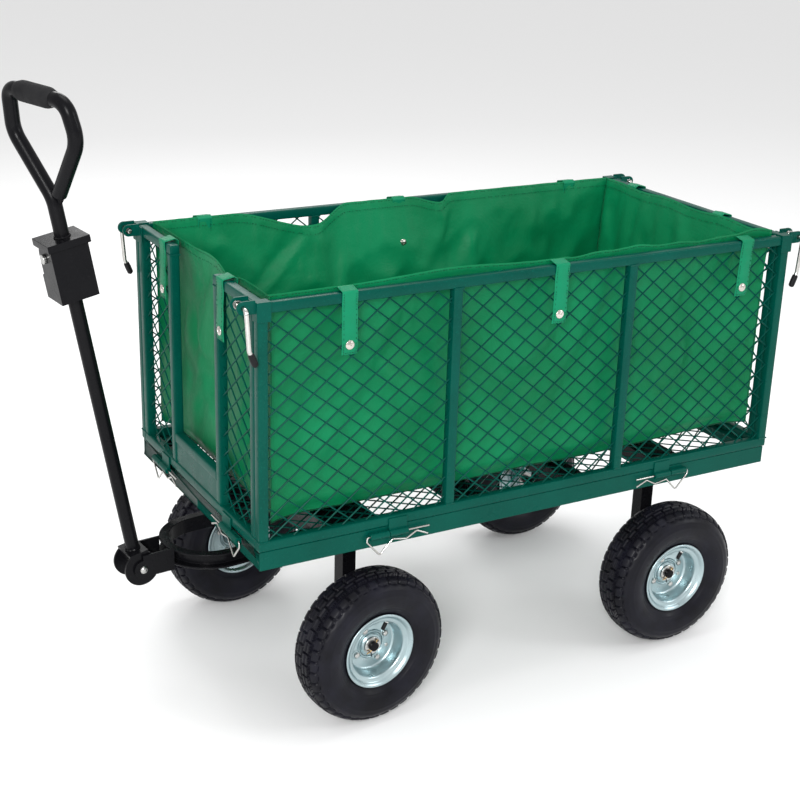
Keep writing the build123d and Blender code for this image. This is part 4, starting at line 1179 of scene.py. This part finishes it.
def make_liner(straps):
    """The liner as a settled sheet of cloth, with its stud, hem and seams."""
    points, faces, count = liner_grid()
    body = Piece("liner_fabric")
    body.add(points, faces)
    liner = body.make("liner_cloth", "bed", ["liner"], crease=75)
    places = settle(liner, list(range(count)))
    points = [keep_inside(p, s) for p, s in zip(places, points)]
    for vertex, point in zip(liner.data.vertices, points):
        vertex.co = point
    cloth = liner.modifiers.new("cloth_thickness", "SOLIDIFY")
    cloth.thickness = FABRIC_THICK
    cloth.offset = 0.0
    stud = Piece("snap_metal")
    stud_place = Vector((-0.008, LINER_Y, 0.655))
    wall = min(points, key=lambda p: (Vector(p) - stud_place).length)
    snap(stud, Matrix.Translation(Vector(wall) + Vector((0, -0.0004, 0))) @ turned(180, "Z"))
    stud_piece = stud.make("liner_stud", "bed", crease=40)
    hem = make_hem(points, count)
    seams = make_seams(points, count)


def inward(x, y):
    """Horizontal direction from a wall towards the inside."""
    if abs(y) / LINER_Y > abs(x) / LINER_X:
        return Vector((0, -math.copysign(1, y), 0))
    return Vector((-math.copysign(1, x), 0, 0))


def make_hem(points, count):
    """Doubled and stitched band round the rim, folded over its edge."""
    hem = Piece("liner_fabric", "thread")
    rows = [[points[row * count + k] for k in range(count)] for row in range(3)]
    thick = 0.0008
    sections, ins = [], []
    for k in range(count):
        into = inward(rows[0][k].x, rows[0][k].y)
        ins.append(into)
        ripple = 0.0006 * noise.noise(rows[0][k] * 60)
        top = rows[0][k] + Vector((0, 0, 0.0016 + ripple))
        sections.append([rows[2][k] + into * thick, rows[1][k] + into * (thick + 0.0004),
                         rows[0][k] + into * thick, top,
                         rows[0][k] - into * thick, rows[1][k] - into * (thick + 0.0004),
                         rows[2][k] - into * thick])
    hem.loft(sections, wrap=True)
    hem.kind = 1
    for share in (0.22, 1.72):
        row, part = int(share), share - int(share)
        for side in (1, -1):
            line = []
            for k in range(count + 1):
                a, b = rows[row][k % count], rows[row + 1][k % count]
                line.append(a.lerp(b, part) + ins[k % count] * side * (thick + 0.0003))
            stitches(hem, line, lambda i, s=side: ins[i % count] * s * 0.0003, 0.0052)
    return hem.make("liner_hem", "bed", crease=70)


def make_seams(points, count):
    """Sewn welts down the four corners and round the floor, on the inside."""
    piece = Piece("thread")
    for corner in (0, GRID_X, GRID_X + GRID_Y, 2 * GRID_X + GRID_Y):
        line = []
        for row in range(GRID_Z + 1):
            p = points[row * count + corner]
            into = Vector((-math.copysign(0.0014, p.x), -math.copysign(0.0014, p.y), 0))
            line.append(p + into)
        piece.tube(line, WELT_R, 8)
    bottom = [points[GRID_Z * count + k] + Vector((0, 0, 0.0010)) for k in range(count)]
    rings = []
    for k, point in enumerate(bottom):
        along = (bottom[(k + 1) % count] - bottom[k - 1]).normalized()
        side = along.cross(Vector((0, 0, 1))).normalized()
        up = side.cross(along)
        rings.append([point + (side * cos + up * sin) * WELT_R for cos, sin in circle(6)])
    piece.loft(rings, wrap=True)
    return piece.make("liner_seams", "bed", crease=70)


# ---------------------------------------------------------------- straps
STRAP_WIDTH = 0.026
STRAP_THICK = 0.0014
STRAP_DROP = 0.0945         # from the top of the rail to the strap's lower end
SNAP_UP = 0.015


def strap(name, place, body, node, lean):
    """Webbing loop over a rail. Place: X along the rail, Y outwards, origin on the rail's top.

    Returns the strap, the length of its path and the place of its snap.
    """
    side_out = HALF_TUBE + 0.0012
    side_in = -HALF_TUBE - 0.0062
    plan = [(side_in, -0.022), (side_in, 0.0016), (side_in + 0.006, 0.0052),
            (0.0, 0.0032), (side_out, 0.0016), (side_out + 0.0003, -0.030),
            (side_out + 0.0012, -0.065), (side_out + 0.0006, -STRAP_DROP)]
    bends = [0.0025, 0.004, 0.008, 0.0022, 0.06, 0.06]
    line = bent_path([Vector((0, y, z)) for y, z in plan], bends, 6)
    fine = [line[0]]
    for a, b in zip(line, line[1:]):
        parts = max(1, int((b - a).length / 0.006))
        fine += [a.lerp(b, (k + 1) / parts) for k in range(parts)]
    piece = Piece("strap_fabric", "thread")
    half = STRAP_WIDTH / 2
    profile = rounded_rectangle(STRAP_WIDTH, STRAP_THICK, STRAP_THICK * 0.45, 2)
    rings, centres, outs = [], [], []
    for i, point in enumerate(fine):
        along = (fine[min(i + 1, len(fine) - 1)] - fine[max(i - 1, 0)]).normalized()
        out = Vector((1, 0, 0)).cross(along)
        if out.y < 0 and point.z < -0.001 and point.y > 0:
            out = -out
        down = max(0.0, -point.z) if point.y > 0 else 0.0
        centre = point + Vector((lean * down, 0, 0))
        wave = 0.0004 * math.sin(point.z * 160 + 1.3)
        ring = []
        for u, w in profile:
            cup = 0.0007 * (u / half) ** 2 * (down > 0.01)
            ring.append(place @ (centre + Vector((u, 0, 0)) + out * (w + wave - cup)))
        rings.append(ring)
        centres.append(centre)
        outs.append(out)
    piece.loft(rings)
    piece.kind = 1
    turn = place.to_3x3()
    margin = 0.0026
    for edge in (-1, 1):
        row = [place @ (c + Vector((edge * (half - margin), 0, 0)) + o * (STRAP_THICK / 2))
               for c, o in zip(centres, outs)]
        stitches(piece, row, lambda i: turn @ outs[i] * 0.0004, 0.0040, 0.0027, 0.00036)
    low = centres[-1] + Vector((0, 0, margin))
    bottom = [place @ (low + Vector((u, 0, 0)) + outs[-1] * (STRAP_THICK / 2))
              for u in (-half + margin, half - margin)]
    stitches(piece, bottom, lambda i: turn @ outs[-1] * 0.0004, 0.0040, 0.0027, 0.00036)
    obj = piece.make(name, body, [node], crease=60)
    length = sum((b - a).length for a, b in zip(fine, fine[1:]))
    snap_z = -STRAP_DROP + SNAP_UP
    foot = Vector((lean * -snap_z, side_out + 0.0008 + STRAP_THICK / 2, snap_z))
    return obj, length, place @ Matrix.Translation(foot)


def snap(piece, place):
    """Press stud cap: rolled edge, shallow dome and a small round dip in its middle."""
    profile = [(0.0070, 0), (0.0073, 0.0004), (0.0070, 0.0011), (0.0062, 0.0016),
               (0.0054, 0.0015), (0.0046, 0.0019), (0.0030, 0.0025), (0.0014, 0.0027),
               (0.0011, 0.0018), (0.0002, 0.0016)]
    piece.lathe(profile, place, 40)


def rail_place(x, y, turn):
    """On the top rail's middle, X along the rail and Y outwards."""
    return Matrix.Translation((x, y, CAGE_TOP)) @ turned(turn, "Z")


def make_straps():
    rail_y, rail_x = CAGE_Y - HALF_TUBE, CAGE_X - HALF_TUBE
    groups = {
        "near": ("near_panel", "near_liner_straps", "near_strap_snaps",
                 [(rail_place(x, -rail_y, 180), lean) for x, lean in zip(NEAR_STRAPS,
                                                                          (0, 0.02, 0.055))]),
        "far": ("far_panel", "far_liner_straps", "far_strap_snaps",
                [(rail_place(x, rail_y, 0), 0.01) for x in FAR_STRAPS]),
        "front": ("bed", "end_liner_straps", "end_strap_snaps",
                  [(rail_place(-rail_x, y, 90), 0.01) for y in FRONT_STRAPS]),
        "rear": ("bed", "end_liner_straps", "end_strap_snaps",
                 [(rail_place(rail_x, y, -90), 0.0) for y in REAR_STRAPS]),
    }
    made = []
    for group, (body, node, snap_node, places) in groups.items():
        snaps = Piece("snap_metal")
        for number, (place, lean) in enumerate(places, 1):
            obj, length, at = strap(f"{group}_strap_{number}", place, body, node, lean)
            snap(snaps, at)
            made.append(obj)
        snaps.make(f"{group}_snaps", body, [snap_node], crease=40)
    return made


# ---------------------------------------------------------------- build
make_camera()
make_studio()
make_cage()
make_clips()
make_latches()
make_wheels()
make_axles()
make_handle()
make_running_gear()
make_liner(make_straps())

bpy.context.view_layer.update()
